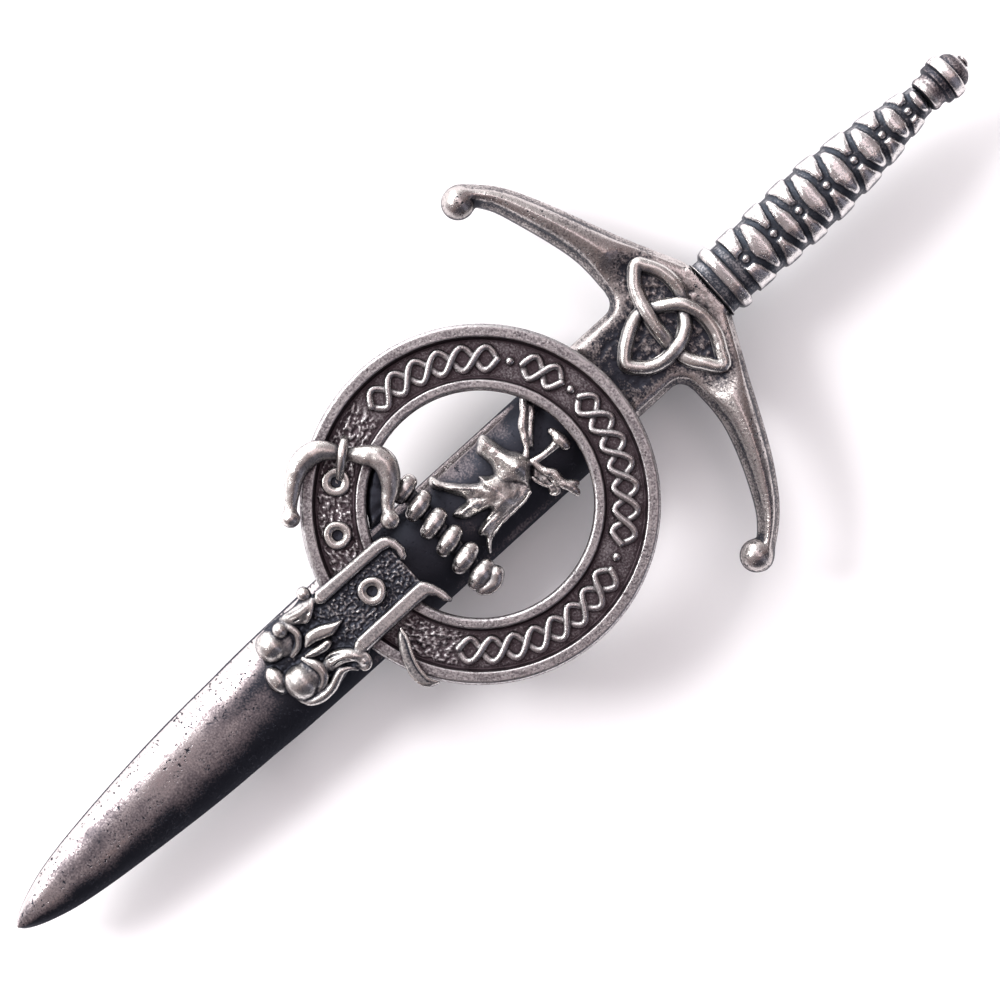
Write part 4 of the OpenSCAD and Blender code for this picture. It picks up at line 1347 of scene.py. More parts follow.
@dataclass(frozen=True)
class Grip:
    """The grip, wrapped in crossing bands that leave raised lozenges, with studs where they cross.

    Attributes:
        lozenge_h: rise of the lozenges.
        plump: width over which a lozenge's two slopes run into each other.
        groove: half width of the floor of the grooves between them.
        slope_w: width of a lozenge's slopes beside a groove.
        stud_r, stud_h: radius and rise of the studs.
        short: how far short of the grip's side a groove's run ends.
        foot: share of the height below the section's widest place.
        box: squareness of the section.
        flatten: share of the rise that is lost at the grip's sides.
        cell: grid of the casting.
    """

    lozenge_h: float = 0.34
    plump: float = 0.34
    groove: float = 0.22
    slope_w: float = 0.36
    stud_r: float = 0.3
    stud_h: float = 0.26
    short: float = 0.14
    foot: float = 0.3
    box: float = 2.7
    flatten: float = 0.45
    cell: float = 0.085
    # y, half width, height
    CORE = (
        (22.2, 2.5, 3.0), (25.0, 2.45, 3.05), (28.5, 2.55, 3.25), (32.0, 2.62, 3.4), (35.0, 2.45, 3.35),
        (37.8, 2.2, 3.15), (40.3, 1.85, 2.85), (42.2, 1.5, 2.6), (43.3, 1.38, 2.5))
    LOZENGES = (27.15, 29.65, 32.2, 34.95, 37.85, 40.45, 42.9)
    STUDS = (25.5, 28.25, 30.7, 33.45, 36.2, 39.0, 41.65, 43.9)
    # run of a groove from a stud's pool to the grip's side: way out, and distance from the lozenge's middle
    ARCH = ((0, 1), (0.3, 0.88), (0.6, 0.7), (0.85, 0.48), (1, 0.3), (1, 0))
    # half length and half width of the pool round a stud
    POOL = (0.56, 0.66)
    # start, end and rise of each band of the collar
    COLLAR = ((22.3, 23.1, 0), (23.1, 24.1, 0.34), (24.1, 24.95, 0))
    # rise below the collar
    COLLAR_FOOT = 0.12
    # how far the grooves wander and over what widths, and how rough their sides are and at what width
    WANDER, WANDER_X, WANDER_Y, ROUGH, ROUGH_SIZE = 0.09, 1.3, 1.1, 0.03, 0.3
    # shares of a lozenge's rise in its slopes and in its crown, and width of the crown's slope
    SLOPES, CROWN, CROWN_W = 0.8, 0.2, 0.7
    # shares of a collar band's rise where it starts and gained along it, over what length, and its rounding
    BAND_START, BAND_GAIN, BAND_L, BAND_ROUND = 0.55, 0.45, 0.5, 0.2
    # patina on the floor of a groove, and the rise at which none is left
    GROOVE_PATINA, CLEAN_FROM = 0.52, 0.14

    def build(self, foundry: Foundry) -> None:
        """Casts the grip: a rounded core, swollen by the relief of its wrap.

        Args:
            foundry: casts and dresses the pieces.
        """
        low, high = box_mm("grip")
        form = Casting(low, high, self.cell)
        x, y, z = form.everywhere()
        rows = smooth_path(self.CORE, 6)
        half = np.interp(y, rows[:, 0], rows[:, 1])
        tall = np.interp(y, rows[:, 0], rows[:, 2])
        relief = self.relief(x[:, :, 0], y[:, :, 0], half[:, :, 0])[:, :, None]
        base = PLACE.back_z + tall * self.foot
        w = half - self.lozenge_h * (1 - self.flatten)
        h = tall * (1 - self.foot) - self.lozenge_h
        up = np.maximum(z - base, 0)
        k = (np.abs(x / w) ** self.box + np.abs(up / h) ** self.box) ** (1 / self.box)
        form.join((k - 1) * np.minimum(w, h) - relief)
        form.keep(greater(PLACE.back_z - z, np.maximum(low[1] - y, y - high[1]), 0))
        metal = Metal(Finish.SMOOTH, wear=0.42, contrast=1.3, reach=0.6, mottle=0.5, gloss=0.26, side=0.2,
                      grain=0.5, pits=0.5, worn=(0.86, 0.83, 0.82, 1), middle=(0.4, 0.39, 0.41, 1),
                      deep=(0.06, 0.068, 0.085, 1))
        foundry.cast("grip_cast", form.net(), metal, ["grip"], rounds=16, reach=0.1, soil=self.soil)

    def soil(self, x: np.ndarray, y: np.ndarray, z: np.ndarray) -> np.ndarray:
        """Patina left in the grooves of the wrap and of the collar.

        Args:
            x, y, z: places on the piece.

        Returns:
            The patina.
        """
        rows = smooth_path(self.CORE, 6)
        half = np.interp(y, rows[:, 0], rows[:, 1])
        rise = self.relief(x, y, np.maximum(half, np.abs(x) / 0.97))
        return self.GROOVE_PATINA * np.clip(1 - rise / self.CLEAN_FROM, 0, 1)

    def relief(self, x: np.ndarray, y: np.ndarray, half: np.ndarray) -> np.ndarray:
        """Rise over the core, by place seen from the front.

        Args:
            x, y: places seen from the front.
            half: half width of the core there.

        Returns:
            The rise.
        """
        x, y = np.broadcast_arrays(x, y)
        bent = x + self.WANDER * pebbles(x, y, self.WANDER_X, 41)
        along = y + self.WANDER * pebbles(x, y, self.WANDER_Y, 42)
        away = self.to_groove(np.minimum(np.abs(bent), half), along)
        away = away + self.ROUGH * pebbles(x, y, self.ROUGH_SIZE, 43)
        clear = ramp(away, self.groove, self.slope_w)
        swell = 1 - self.flatten * np.clip(np.abs(x) / half, 0, 1) ** 3
        crown = self.CROWN * ramp(away, 0, self.CROWN_W)
        rise = self.lozenge_h * (self.SLOPES * quarter_round(clear) + crown) * swell
        for cy in self.STUDS:
            dome = np.sqrt(np.clip(1 - (np.hypot(x, y - cy) / self.stud_r) ** 2, 0, 1))
            rise = np.maximum(rise, self.stud_h * dome)
        for start, end, lift in self.COLLAR:
            inside = np.minimum(y - start, end - y)
            slant = np.clip(self.BAND_START + self.BAND_GAIN * (y - start) / self.BAND_L, 0, 1)
            band = lift * slant * np.sqrt(ramp(inside, 0, self.BAND_ROUND))
            rise = np.where(inside > 0, band, rise)
        return np.where(y < self.COLLAR[0][0], self.COLLAR_FOOT, rise)

    def to_groove(self, x: np.ndarray, y: np.ndarray) -> np.ndarray:
        """Distance from the grooves and pools of the wrap, for places right of the grip's middle.

        Args:
            x, y: places, as arrays that broadcast against each other.

        Returns:
            The distances; a groove's floor lies within half its width.
        """
        widths = smooth_path(self.CORE, 6)
        nearest = np.full(np.broadcast_shapes(x.shape, y.shape), FAR)
        for cy, below, above in zip(self.LOZENGES, self.STUDS, self.STUDS[1:]):
            end = np.interp(cy, widths[:, 0], widths[:, 1]) - self.short
            for stud, side in ((below, -1), (above, 1)):
                rise = stud - side * 0.4 - cy
                ways = [(end * out, cy + rise * up) for out, up in self.ARCH]
                own = np.full(nearest.shape, FAR)
                for (ax, ay), (bx, by) in zip(ways, ways[1:]):
                    dx, dy = bx - ax, by - ay
                    t = np.clip(((x - ax) * dx + (y - ay) * dy) / (dx * dx + dy * dy), 0, 1)
                    own = np.minimum(own, np.hypot(x - ax - t * dx, y - ay - t * dy))
                nearest = lesser(nearest, own, self.plump)
        for cy in self.STUDS:
            pool = np.hypot(x / self.POOL[0], (y - cy) / self.POOL[1])
            nearest = lesser(nearest, self.groove + (pool - 1) * self.POOL[0], 0.2)
        return nearest


@dataclass(frozen=True)
class Pommel:
    """The pommel: neck, disc, dome and nub, turned about the sword's length.

    Attributes:
        turns: copies of the profile round the axis.
    """

    turns: int = 100
    # distance from the grip, radius, rounding
    PROFILE = (
        (0, 0.02, 0), (0, 1.3, 0.12), (0.3, 1.42, 0.15), (0.75, 1.3, 0.3), (1.08, 1.38, 0.1),
        (1.18, 1.64, 0.08), (1.6, 1.66, 0.1), (1.66, 1.56, 0.03), (1.72, 1.56, 0.03), (1.76, 1.79, 0.38),
        (2.64, 1.79, 0.4), (2.68, 1.42, 0.03), (2.74, 1.42, 0.05), (3.15, 1.4, 0.3), (3.6, 1.0, 0.3),
        (3.78, 0.44, 0.05), (3.88, 0.44, 0.05), (3.9, 0.54, 0.06), (4.05, 0.5, 0.12), (4.17, 0.28, 0.1),
        (4.17, 0.02, 0))
    # distance from the grip, patina left there
    PATINA = (
        (0, 0.3), (1.0, 0.4), (1.15, 0.9), (1.72, 0.9), (1.84, 0), (2.58, 0), (2.68, 0.7), (3.4, 0.7),
        (3.6, 0))

    def build(self, foundry: Foundry) -> None:
        """Turns the profile.

        Args:
            foundry: casts and dresses the pieces.
        """
        low, high = box_mm("pommel")
        axis_z = (low[2] + high[2]) / 2
        corners = [(radius, along, r) for along, radius, r in self.PROFILE]
        profile = resample(rounded(corners), 0.07)
        points, quads = lathe(profile, self.turns)
        placed = np.stack([points[:, 0], low[1] + points[:, 2], axis_z + points[:, 1]], axis=1)
        metal = Metal(Finish.SMOOTH, wear=0.42, contrast=1.2, reach=0.5, mottle=0.6, side=0.3, grain=0.4,
                      pits=0.7, worn=(0.84, 0.8, 0.79, 1), middle=(0.3, 0.26, 0.27, 1))
        foundry.cast("pommel_cast", (placed, quads[:, ::-1]), metal, ["pommel"], rounds=14, reach=0.08,
                     soil=lambda x, y, z: np.interp(y - low[1], *np.array(self.PATINA).T))


@dataclass(frozen=True)
class StrapRing:
    """The strap ring: two rims with a sunk channel between them, grainy where the strap shows bare.

    Attributes:
        width: width of the strap.
        outer_rim, inner_rim: widths of the rims.
        turns: copies of the section round the ring.
        grain_h: height of the stippled ground.
        dent: depth of the small dents in the rims.
        channel_soil: patina left below the rims.
    """

    width: float = 4.9
    outer_rim: float = 1.05
    inner_rim: float = 0.88
    turns: int = 480
    grain_h: float = 0.1
    dent: float = 0.006
    channel_soil: float = 0.3
    # start and end angle of each stippled stretch, in degrees from +X
    STIPPLED = ((188, 259), (284, 312))

    def build(self, foundry: Foundry) -> None:
        """Turns the section and roughens the bare stretches.

        Args:
            foundry: casts and dresses the pieces.
        """
        out, hole = PLACE.ring_r, PLACE.ring_r - self.width
        top, bed = PLACE.rim_z - PLACE.seat_z, PLACE.floor_z - PLACE.seat_z
        lip_out, lip_in = out - self.outer_rim, hole + self.inner_rim
        section = rounded([
            (hole + 0.06, 0, 0.15), (out - 0.06, 0, 0.15), (out, top - 0.25, 0.16), (out - 0.18, top, 0.12),
            (lip_out + 0.1, top, 0.1), (lip_out - 0.06, bed - 0.08, 0.12), (lip_out - 0.26, bed - 0.02, 0.12),
            (lip_in + 0.26, bed - 0.02, 0.12), (lip_in + 0.06, bed - 0.08, 0.12), (lip_in - 0.1, top, 0.1),
            (hole + 0.16, top, 0.12), (hole, top - 0.25, 0.16)], 5)
        profile = resample(section, 0.09)
        points, quads = lathe(profile, self.turns)
        points = points + (PLACE.ring[0], PLACE.ring[1], PLACE.seat_z)
        points[:, 2] += self.stipple(points)
        metal = Metal(Finish.DARK, wear=0.24, contrast=1.3, reach=0.7, mottle=0.7, gloss=0.2, side=0.9,
                      grain=0.8, speckle=2.2, pits=0.8, worn=(0.64, 0.62, 0.625, 1),
                      middle=(0.29, 0.265, 0.28, 1), deep=(0.1, 0.078, 0.088, 1))
        foundry.cast("ring_cast", (points, quads), metal, ["strap_ring"], rounds=8, reach=0.05,
                     soil=lambda x, y, z: self.channel_soil * ramp(-z, 0.25 - PLACE.rim_z, 0.2))

    def stipple(self, points: np.ndarray) -> np.ndarray:
        """Height added at each point: stippled ground in the channel's bare stretches, dents on the rims.

        Args:
            points: the ring's points.

        Returns:
            The heights.
        """
        x, y = points[:, 0] - PLACE.ring[0], points[:, 1] - PLACE.ring[1]
        r, a = np.hypot(x, y), np.degrees(np.arctan2(y, x)) % 360
        lip_out, lip_in = PLACE.ring_r - self.outer_rim, PLACE.ring_r - self.width + self.inner_rim
        inside = ramp(np.minimum(lip_out - r, r - lip_in), 0.15, 0.2)
        bare = np.zeros(len(points))
        for start, end in self.STIPPLED:
            bare = np.maximum(bare, np.clip(np.minimum(a - start, end - a) / 3, 0, 1))
        up = (points[:, 2] > PLACE.floor_z - 0.2) & (points[:, 2] < PLACE.rim_z - 0.2)
        dents = self.dent * (points[:, 2] > PLACE.rim_z - 0.25) * (1 + pebbles(x, y, 0.25, 13))
        return self.grain_h * stipple(x, y, 11) * inside * bare * up - dents


@dataclass(frozen=True)
class Plait:
    """The raised ornament of the channel: groups of two crossing strands, with pellets between them.

    Attributes:
        wire_r: radius of a strand.
        wave: how far a strand swings from the middle of the channel.
        pellet_r: radius of a pellet.
        inset: distance of the band's middle from the ring's outer edge.
        weave: how far a strand climbs and dips at a crossing.
        cell: grid of the casting.
    """

    wire_r: float = 0.28
    wave: float = 0.86
    pellet_r: float = 0.36
    inset: float = 2.52
    weave: float = 0.1
    cell: float = 0.075
    # start angle, end angle, crossings
    GROUPS = ((186, 131, 6), (121, 104, 2), (95, 32, 7), (21, -51, 8))

    def build(self, foundry: Foundry) -> None:
        """Casts the groups and the pellets between them.

        Args:
            foundry: casts and dresses the pieces.
        """
        low, high = box_mm("plait_band")
        form = Casting(low - (0.1, 0.1, 0.1), high + (0.1, 0.1, 0), self.cell)
        middle_r = PLACE.ring_r - self.inset
        for start, end, crossings in self.GROUPS:
            for side in (-1, 1):
                form.strand(self.strand(start, end, crossings, side, middle_r), 0.03)
        for before, after in zip(self.GROUPS[:-1], self.GROUPS[1:]):
            a = math.radians((before[1] + after[0]) / 2)
            x, y = PLACE.ring[0] + middle_r * math.cos(a), PLACE.ring[1] + middle_r * math.sin(a)
            form.lump((x, y, PLACE.floor_z + 0.1), (self.pellet_r,) * 3)
        form.above(PLACE.floor_z - 0.1)
        metal = Metal(Finish.BRIGHT, wear=0.16, contrast=1.0, reach=0.5, mottle=0.5, side=0.4, grain=0.5,
                      pits=0.4, worn=(0.7, 0.68, 0.68, 1), middle=(0.33, 0.31, 0.32, 1),
                      deep=(0.08, 0.07, 0.078, 1))
        foundry.cast("plait_cast", form.net(), metal, ["plait_band"], rounds=10, reach=0.06)

    def strand(self, start: float, end: float, crossings: int, side: int, middle_r: float) -> np.ndarray:
        """Path of one strand of a group.

        Args:
            start, end: angles of the group's ends, in degrees.
            crossings: how often the two strands cross.
            side: which of the two strands, -1 or 1.
            middle_r: radius of the band's middle.

        Returns:
            Rows of x, y, z and radius.
        """
        t = np.linspace(0, 1, 12 * crossings + 1)
        a = np.radians(start + (end - start) * t)
        phase = math.pi * crossings * t
        r = middle_r + side * self.wave * np.sin(phase)
        z = PLACE.floor_z + 0.12 + self.weave * side * np.cos(phase)
        return np.stack([PLACE.ring[0] + r * np.cos(a), PLACE.ring[1] + r * np.sin(a), z,
                         np.full(len(t), self.wire_r)], axis=1)


@dataclass(frozen=True)
class Buckle:
    """The buckle's bent wire with its ball ends, and the prong that hooks over it.

    Attributes:
        cell, prong_cell: grids of the two castings.
        sink: how far the wire's middle lies above the rims, as a share of its radius.
    """

    cell: float = 0.07
    prong_cell: float = 0.06
    sink: float = 0.5
    # x, y, radius, measured on the badge's plane
    WIRE = (
        (-3.8, -6.7, 0.55), (-4.35, -6.35, 0.48), (-4.95, -5.85, 0.52), (-5.55, -5.1, 0.66),
        (-6.2, -4.55, 0.8), (-7.1, -4.2, 0.9), (-7.95, -4.4, 0.86), (-8.6, -4.95, 0.74),
        (-9.2, -5.55, 0.54), (-9.8, -6.15, 0.5), (-10.5, -6.6, 0.66), (-11.1, -7.25, 0.8),
        (-11.33, -8.2, 0.84), (-11.2, -9.1, 0.8), (-10.75, -10.0, 0.68), (-10.1, -10.75, 0.56),
        (-9.5, -11.4, 0.46), (-9.0, -12.0, 0.5))
    BALLS = ((-3.75, -6.75, 0.72), (-8.8, -12.12, 0.7))
    # x, y, height above the rims, radius
    PRONG = (
        (-10.4, -5.2, 0.3, 0.32), (-10.15, -5.5, 0.85, 0.34), (-9.65, -6.1, 1.02, 0.35),
        (-9.1, -6.75, 0.8, 0.34), (-8.6, -7.35, 0.25, 0.27))

    def build(self, foundry: Foundry) -> None:
        """Casts the wire and the prong.

        Args:
            foundry: casts and dresses the pieces.
        """
        low, high = box_mm("buckle_frame")
        form = Casting(low - (0.2, 0.2, 0.1), high + 0.1, self.cell)
        rows = [(*BADGE.at((x, y)), PLACE.rim_z + r * self.sink, r) for x, y, r in self.WIRE]
        form.strand(smooth_path(rows, 6), flat=0.95)
        for x, y, r in self.BALLS:
            form.lump((*BADGE.at((x, y)), PLACE.rim_z + r * self.sink), (r, r, r * 0.95), 0.12)
        form.uneven(0.03, 0.55, 62)
        form.above(PLACE.rim_z)
        metal = Metal(Finish.BRIGHT, wear=0.36, contrast=1.0, reach=0.6, mottle=0.5, grain=0.3, pits=0.5,
                      worn=(0.84, 0.8, 0.77, 1))
        foundry.cast("buckle_cast", form.net(), metal, ["buckle_frame"], rounds=12, reach=0.08)
        low, high = box_mm("buckle_prong")
        form = Casting(low - 0.3, high + (0.3, 0.3, 0.05), self.prong_cell)
        rows = [(*BADGE.at((x, y)), PLACE.rim_z + up, r) for x, y, up, r in self.PRONG]
        form.strand(smooth_path(rows, 6))
        metal = Metal(Finish.BRIGHT, wear=0.36, contrast=1.2, reach=0.6, mottle=0.3, grain=0.2, pits=0.2)
        foundry.cast("prong_cast", form.net(), metal, ["buckle_prong"], rounds=8, reach=0.05)


@dataclass(frozen=True)
class Eyelets:
    """The three raised eyelets.

    Attributes:
        radius: outer radius.
        hole: radius of the hole.
        height: rise above the strap.
        uneven: how far the outer edge is out of round, as a share of its radius.
        turns: copies of the section round the axis.
    """

    radius: float = 1.12
    hole: float = 0.4
    height: float = 0.55
    uneven: float = 0.025
    turns: int = 96
    # share of the height for each eyelet; the prong presses the first one flat
    EYELETS = (("eyelet_buckle", 0.6), ("eyelet_strap", 1.0), ("eyelet_tail", 1.0))

    def build(self, foundry: Foundry) -> None:
        """Turns the lip, closed below its hole, and sets it at each eyelet's place.

        Args:
            foundry: casts and dresses the pieces.
        """
        metal = Metal(Finish.BRIGHT, wear=0.34, contrast=1.5, reach=0.5, mottle=0.4, grain=0.25, pits=0.3)
        middle = self.hole + 0.3
        section = rounded([
            (0.01, 0.02, 0), (self.radius, 0.02, 0), (self.radius - 0.02, 0.2, 0.15),
            (middle + 0.34, self.height, 0.22), (middle - 0.05, self.height, 0.1),
            (self.hole, self.height - 0.2, 0.1), (self.hole - 0.04, 0.1, 0.03), (0.01, 0.06, 0)])
        points, quads = lathe(resample(section, 0.06), self.turns)
        for node, share in self.EYELETS:
            low, high = box_mm(node)
            place = ((low[0] + high[0]) / 2, (low[1] + high[1]) / 2, low[2])
            worn = points * (1, 1, share)
            a = np.arctan2(points[:, 1], points[:, 0])
            worn[:, :2] *= (1 - self.uneven * (1 + np.sin(3 * a + place[0])))[:, None]
            foundry.cast(f"{node}_cast", (worn + place, quads), metal, [node], rounds=10, reach=0.06,
                         soil=lambda x, y, z, at=place: 1.0 * (np.hypot(x - at[0], y - at[1]) < self.hole))


@dataclass(frozen=True)
class Tail:
    """The strap's hanging tail: stippled ground between two rounded edges that hook over at the top.

    Attributes:
        edge_h: height of an edge above the ground.
        edge_round: width of its rounding.
        stipple_h: height of the stippled ground.
        ground_soil: patina left on the ground.
        cell: grid of the casting.
    """

    edge_h: float = 0.36
    edge_round: float = 0.3
    stipple_h: float = 0.06
    ground_soil: float = 0.5
    cell: float = 0.066
    # left and right side and short upper end of the ground, measured on the badge's plane
    GROUND = (-3.1, 1.7, 0.6)
    # corners of each raised edge with its hook, measured on the badge's plane
    LEFT = (
        (-3.58, -15), (-3.45, -11), (-3.42, -8.9), (-3.3, -8.1), (-2.95, -7.65), (-2.35, -7.35),
        (-1.5, -7.3), (-0.9, -7.6), (-0.82, -7.95), (-1.0, -8.15), (-1.8, -7.98), (-2.2, -8.15),
        (-2.36, -8.7), (-2.38, -11), (-2.4, -15))
    RIGHT = ((1.05, -15), (1.02, -9), (1.05, -8.15), (1.35, -7.85), (2.0, -7.5), (3.0, -7.22), (3.65, -7.2),
             (3.8, -7.45), (3.4, -7.85), (2.75, -8.02), (2.35, -8.4), (2.3, -9), (2.32, -15))

    def build(self, foundry: Foundry) -> None:
        """Casts ground and edges in one.

        Args:
            foundry: casts and dresses the pieces.
        """
        low, high = box_mm("strap_tail")
        low[1] -= 0.03
        form = Casting(low - (0.4, 0.1, 0.1), high + 0.2, self.cell)
        x, y, z = form.everywhere()
        left, right = (BADGE.at((side, 0))[0] for side in self.GROUND[:2])
        bottom, top = low[1] - 1, high[1] - self.GROUND[2]
        plan = rounded([(left, bottom, 0), (right, bottom, 0), (right, top, 0.4), (left, top, 0.4)])
        flat = outline_distance(x[:, :, 0], y[:, :, 0], plan)[:, :, None]
        ground = self.stipple_h * stipple(x, y, 21)
        form.join(greater((z - PLACE.tail_z + 0.05 - ground) * GROUND_SHARE, flat, 0.1))
        for rows in (self.LEFT, self.RIGHT):
            outline = np.array([BADGE.at(row) for row in rows])
            form.cushion(outline, PLACE.tail_z + self.edge_h, PLACE.tail_z - 0.1, self.edge_round, 0.04)
        form.keep(np.maximum(PLACE.rim_z - z, low[1] - y))
        metal = Metal(Finish.DARK, wear=0.26, contrast=1.6, reach=0.7, mottle=0.5, grain=0.4, pits=0.5,
                      worn=(0.78, 0.75, 0.74, 1), middle=(0.3, 0.285, 0.295, 1))
        foundry.cast("tail_cast", form.net(), metal, ["strap_tail"], rounds=10, reach=0.06,
                     soil=lambda x, y, z: self.ground_soil * ramp(-z, -0.2 - PLACE.tail_z, 0.12))


@dataclass(frozen=True)
class Tip:
    """The scrolled tip of the tail: two horned scrolls, their bosses, and a bud between them.

    Attributes:
        ground_h: height of the ground between the scrolls, at the tail.
        ground_slope: its fall towards the point.
        stipple_h: height of the stippled ground.
        flute_up: how far the flutes are lifted out of the horns' skin.
        leaf_top, leaf_foot, leaf_slope: heights of the two leaves above the blade, and their fall.
        cell: grid of the casting.
    """

    ground_h: float = 2.44
    ground_slope: float = 0.25
    stipple_h: float = 0.06
    flute_up: float = 0.07
    leaf_top: float = 2.86
    leaf_foot: float = 2.15
    leaf_slope: float = 0.16
    cell: float = 0.073
    # x, y, height above the blade, radius, measured on the badge's plane; from the left horn to the right one
    STRANDS = (
        ((-3.2, -15.3, 2.1, 0.48), (-3.1, -16.0, 2.05, 0.64), (-3.2, -16.8, 1.85, 0.62),
         (-3.55, -17.6, 1.5, 0.42)),
        ((-3.3, -14.95, 2.4, 0.15), (-2.85, -15.35, 2.5, 0.15), (-2.5, -15.9, 2.45, 0.15),
         (-2.35, -16.35, 2.25, 0.14), (-2.7, -16.85, 2.0, 0.12)),
        ((-3.85, -15.6, 1.9, 0.14), (-3.68, -16.5, 1.75, 0.15), (-3.82, -17.4, 1.45, 0.15),
         (-4.0, -18.2, 1.15, 0.15), (-4.0, -19.1, 0.9, 0.14)),
        ((-3.6, -18.1, 1.6, 0.2), (-3.3, -17.85, 1.75, 0.26), (-2.85, -17.6, 1.88, 0.3),
         (-2.2, -17.5, 1.9, 0.3), (-1.65, -17.8, 1.78, 0.29), (-1.3, -18.3, 1.6, 0.26),
         (-1.2, -18.9, 1.35, 0.2)),
        ((-0.5, -18.45, 1.75, 0.2), (0.0, -18.2, 1.92, 0.32), (0.6, -17.98, 2.0, 0.4),
         (1.15, -17.98, 2.0, 0.38), (1.6, -18.2, 1.92, 0.34), (1.92, -18.65, 1.75, 0.28),
         (2.02, -19.3, 1.5, 0.2)),
        ((2.8, -15.95, 2.0, 0.12), (2.35, -16.35, 2.0, 0.2), (2.1, -16.9, 1.95, 0.3),
         (2.25, -17.5, 1.8, 0.36), (2.48, -18.1, 1.65, 0.38), (2.6, -18.8, 1.5, 0.4),
         (2.5, -19.6, 1.35, 0.4), (2.2, -20.25, 1.15, 0.34), (1.7, -20.65, 0.95, 0.25),
         (1.1, -20.9, 0.8, 0.12)),
        ((2.75, -15.2, 2.2, 0.46), (2.2, -15.2, 2.35, 0.47), (1.72, -15.55, 2.35, 0.52),
         (1.35, -16.05, 2.2, 0.6), (1.15, -16.65, 1.9, 0.68), (1.15, -17.15, 1.65, 0.66)),
        ((1.95, -14.95, 2.45, 0.15), (2.5, -14.72, 2.55, 0.17), (3.0, -14.88, 2.5, 0.18),
         (3.22, -15.3, 2.35, 0.17), (3.08, -15.62, 2.2, 0.14), (2.5, -15.72, 2.1, 0.1)))
    # x, y, height, half lengths along X, Y and Z, and turn
    BOSSES = (
        (-4.0, -15.15, 2.25, 0.56, 0.52, 0.5, 0), (-3.18, -18.3, 1.72, 0.62, 0.6, 0.66, 0),
        (-2.5, -18.75, 0.9, 1.35, 1.36, 0.95, 0), (0.85, -18.95, 1.0, 1.42, 1.36, 1.05, 0),
        (-2.75, -19.6, 1.0, 1.24, 1.22, 1.22, 0), (0.76, -19.72, 1.05, 1.42, 1.3, 1.4, 0),
        (2.7, -15.15, 2.5, 0.33, 0.3, 0.3, 0), (-0.65, -21.0, 0.68, 1.12, 0.76, 0.8, -8),
        (-0.65, -21.02, 0.35, 1.24, 0.86, 0.32, -8))
    # flutes cut into the horns
    FLUTES = (
        ((-3.45, -15.7, 2.5, 0.07), (-3.5, -16.4, 2.45, 0.09), (-3.75, -17.2, 2.0, 0.07)),
        ((-3.1, -15.7, 2.68, 0.07), (-3.1, -16.4, 2.68, 0.1), (-3.35, -17.2, 2.3, 0.08)),
        ((-2.78, -15.8, 2.55, 0.07), (-2.75, -16.4, 2.5, 0.09), (-3.0, -17.0, 2.2, 0.07)),
        ((1.9, -15.9, 2.6, 0.07), (1.45, -16.5, 2.5, 0.09), (1.4, -17.1, 2.2, 0.08)),
        ((1.5, -15.7, 2.85, 0.06), (1.1, -16.4, 2.7, 0.1), (1.0, -17.0, 2.4, 0.09)),
        ((1.2, -15.9, 2.7, 0.05), (0.85, -16.5, 2.45, 0.09), (0.7, -17.1, 2.1, 0.08)))
    LEFT_LEAF = (
        (-0.64, -14.17), (-1.05, -14.9), (-1.42, -15.6), (-1.62, -16.1), (-1.76, -16.95), (-1.35, -17.5),
        (-0.94, -17.76), (-0.8, -17.2), (-0.64, -16.67), (-0.34, -15.95), (-0.22, -15.4), (-0.4, -14.7))
    RIGHT_LEAF = ((-0.4, -16.1), (0.07, -15.92), (0.3, -16.5), (0.22, -17.1), (0.05, -17.6), (-0.25, -18.0),
                  (-0.54, -18.3), (-0.58, -17.5), (-0.48, -16.8))
    GROUND = (
        (-3.5, -14.3), (2.3, -14.3), (2.9, -15.3), (2.4, -16.4), (2.8, -18.0), (2.85, -19.2),
        (2.2, -20.4), (0.3, -21.1), (-1.6, -21.1), (-3.3, -20.6), (-3.95, -19.2), (-3.8, -17.4),
        (-3.7, -15.4))
    # stubs of the tail's raised edges: left, right and lower end
    STUBS = ((-3.58, -2.4, -14.9), (1.05, 2.32, -15.1))

    def build(self, foundry: Foundry) -> None:
        """Casts ground, scrolls, bosses and bud in one, and cuts the flutes.

        Args:
            foundry: casts and dresses the pieces.
        """
        low, high = box_mm("strap_tip")
        form = Casting(low - (0.4, 0.4, 0.6), (high[0] + 0.1, high[1] + 0.6, high[2] + 0.1), self.cell)
        x, y, z = form.everywhere()
        plan = np.array([BADGE.at(row) for row in self.GROUND])
        flat = outline_distance(x[:, :, 0], y[:, :, 0], plan)[:, :, None]
        fall = self.ground_slope * np.clip(high[1] - y, 0, FAR)
        ground = PLACE.seat_z + self.ground_h - fall + self.stipple_h * stipple(x, y, 31)
        form.join(greater((z - ground) * GROUND_SHARE, flat, 0.15))
        for left, right, end in self.STUBS:
            plan = ((left, -14), (left + 0.1, end + 0.3), (left + 0.35, end), (right - 0.35, end - 0.1),
                    (right - 0.05, end + 0.3), (right, -14))
            corners = np.array([BADGE.at(c) for c in plan])
            form.cushion(corners, PLACE.tail_z + 0.35, PLACE.tail_z - 0.11, 0.3, 0.04)
        for rows in self.STRANDS:
            form.strand(BADGE.path(rows), 0.16)
        for bx, by, up, rx, ry, rz, turn in self.BOSSES:
            form.lump(BADGE.at((bx, by, up)), (rx, ry, rz), 0.1, turn)
        for rows in self.FLUTES:
            form.groove(BADGE.path([(px, py, up + self.flute_up, r) for px, py, up, r in rows], 3), 0.08)
        tilt = (self.leaf_slope, BADGE.at((0, -15.2))[1], 0)
        leaf_top, leaf_foot = PLACE.seat_z + self.leaf_top, PLACE.seat_z + self.leaf_foot
        for rows in (self.LEFT_LEAF, self.RIGHT_LEAF):
            form.cushion(BADGE.outline(rows), leaf_top, leaf_foot, 0.38, 0.03, tilt=tilt)
        form.uneven(0.02, 0.45, 63)
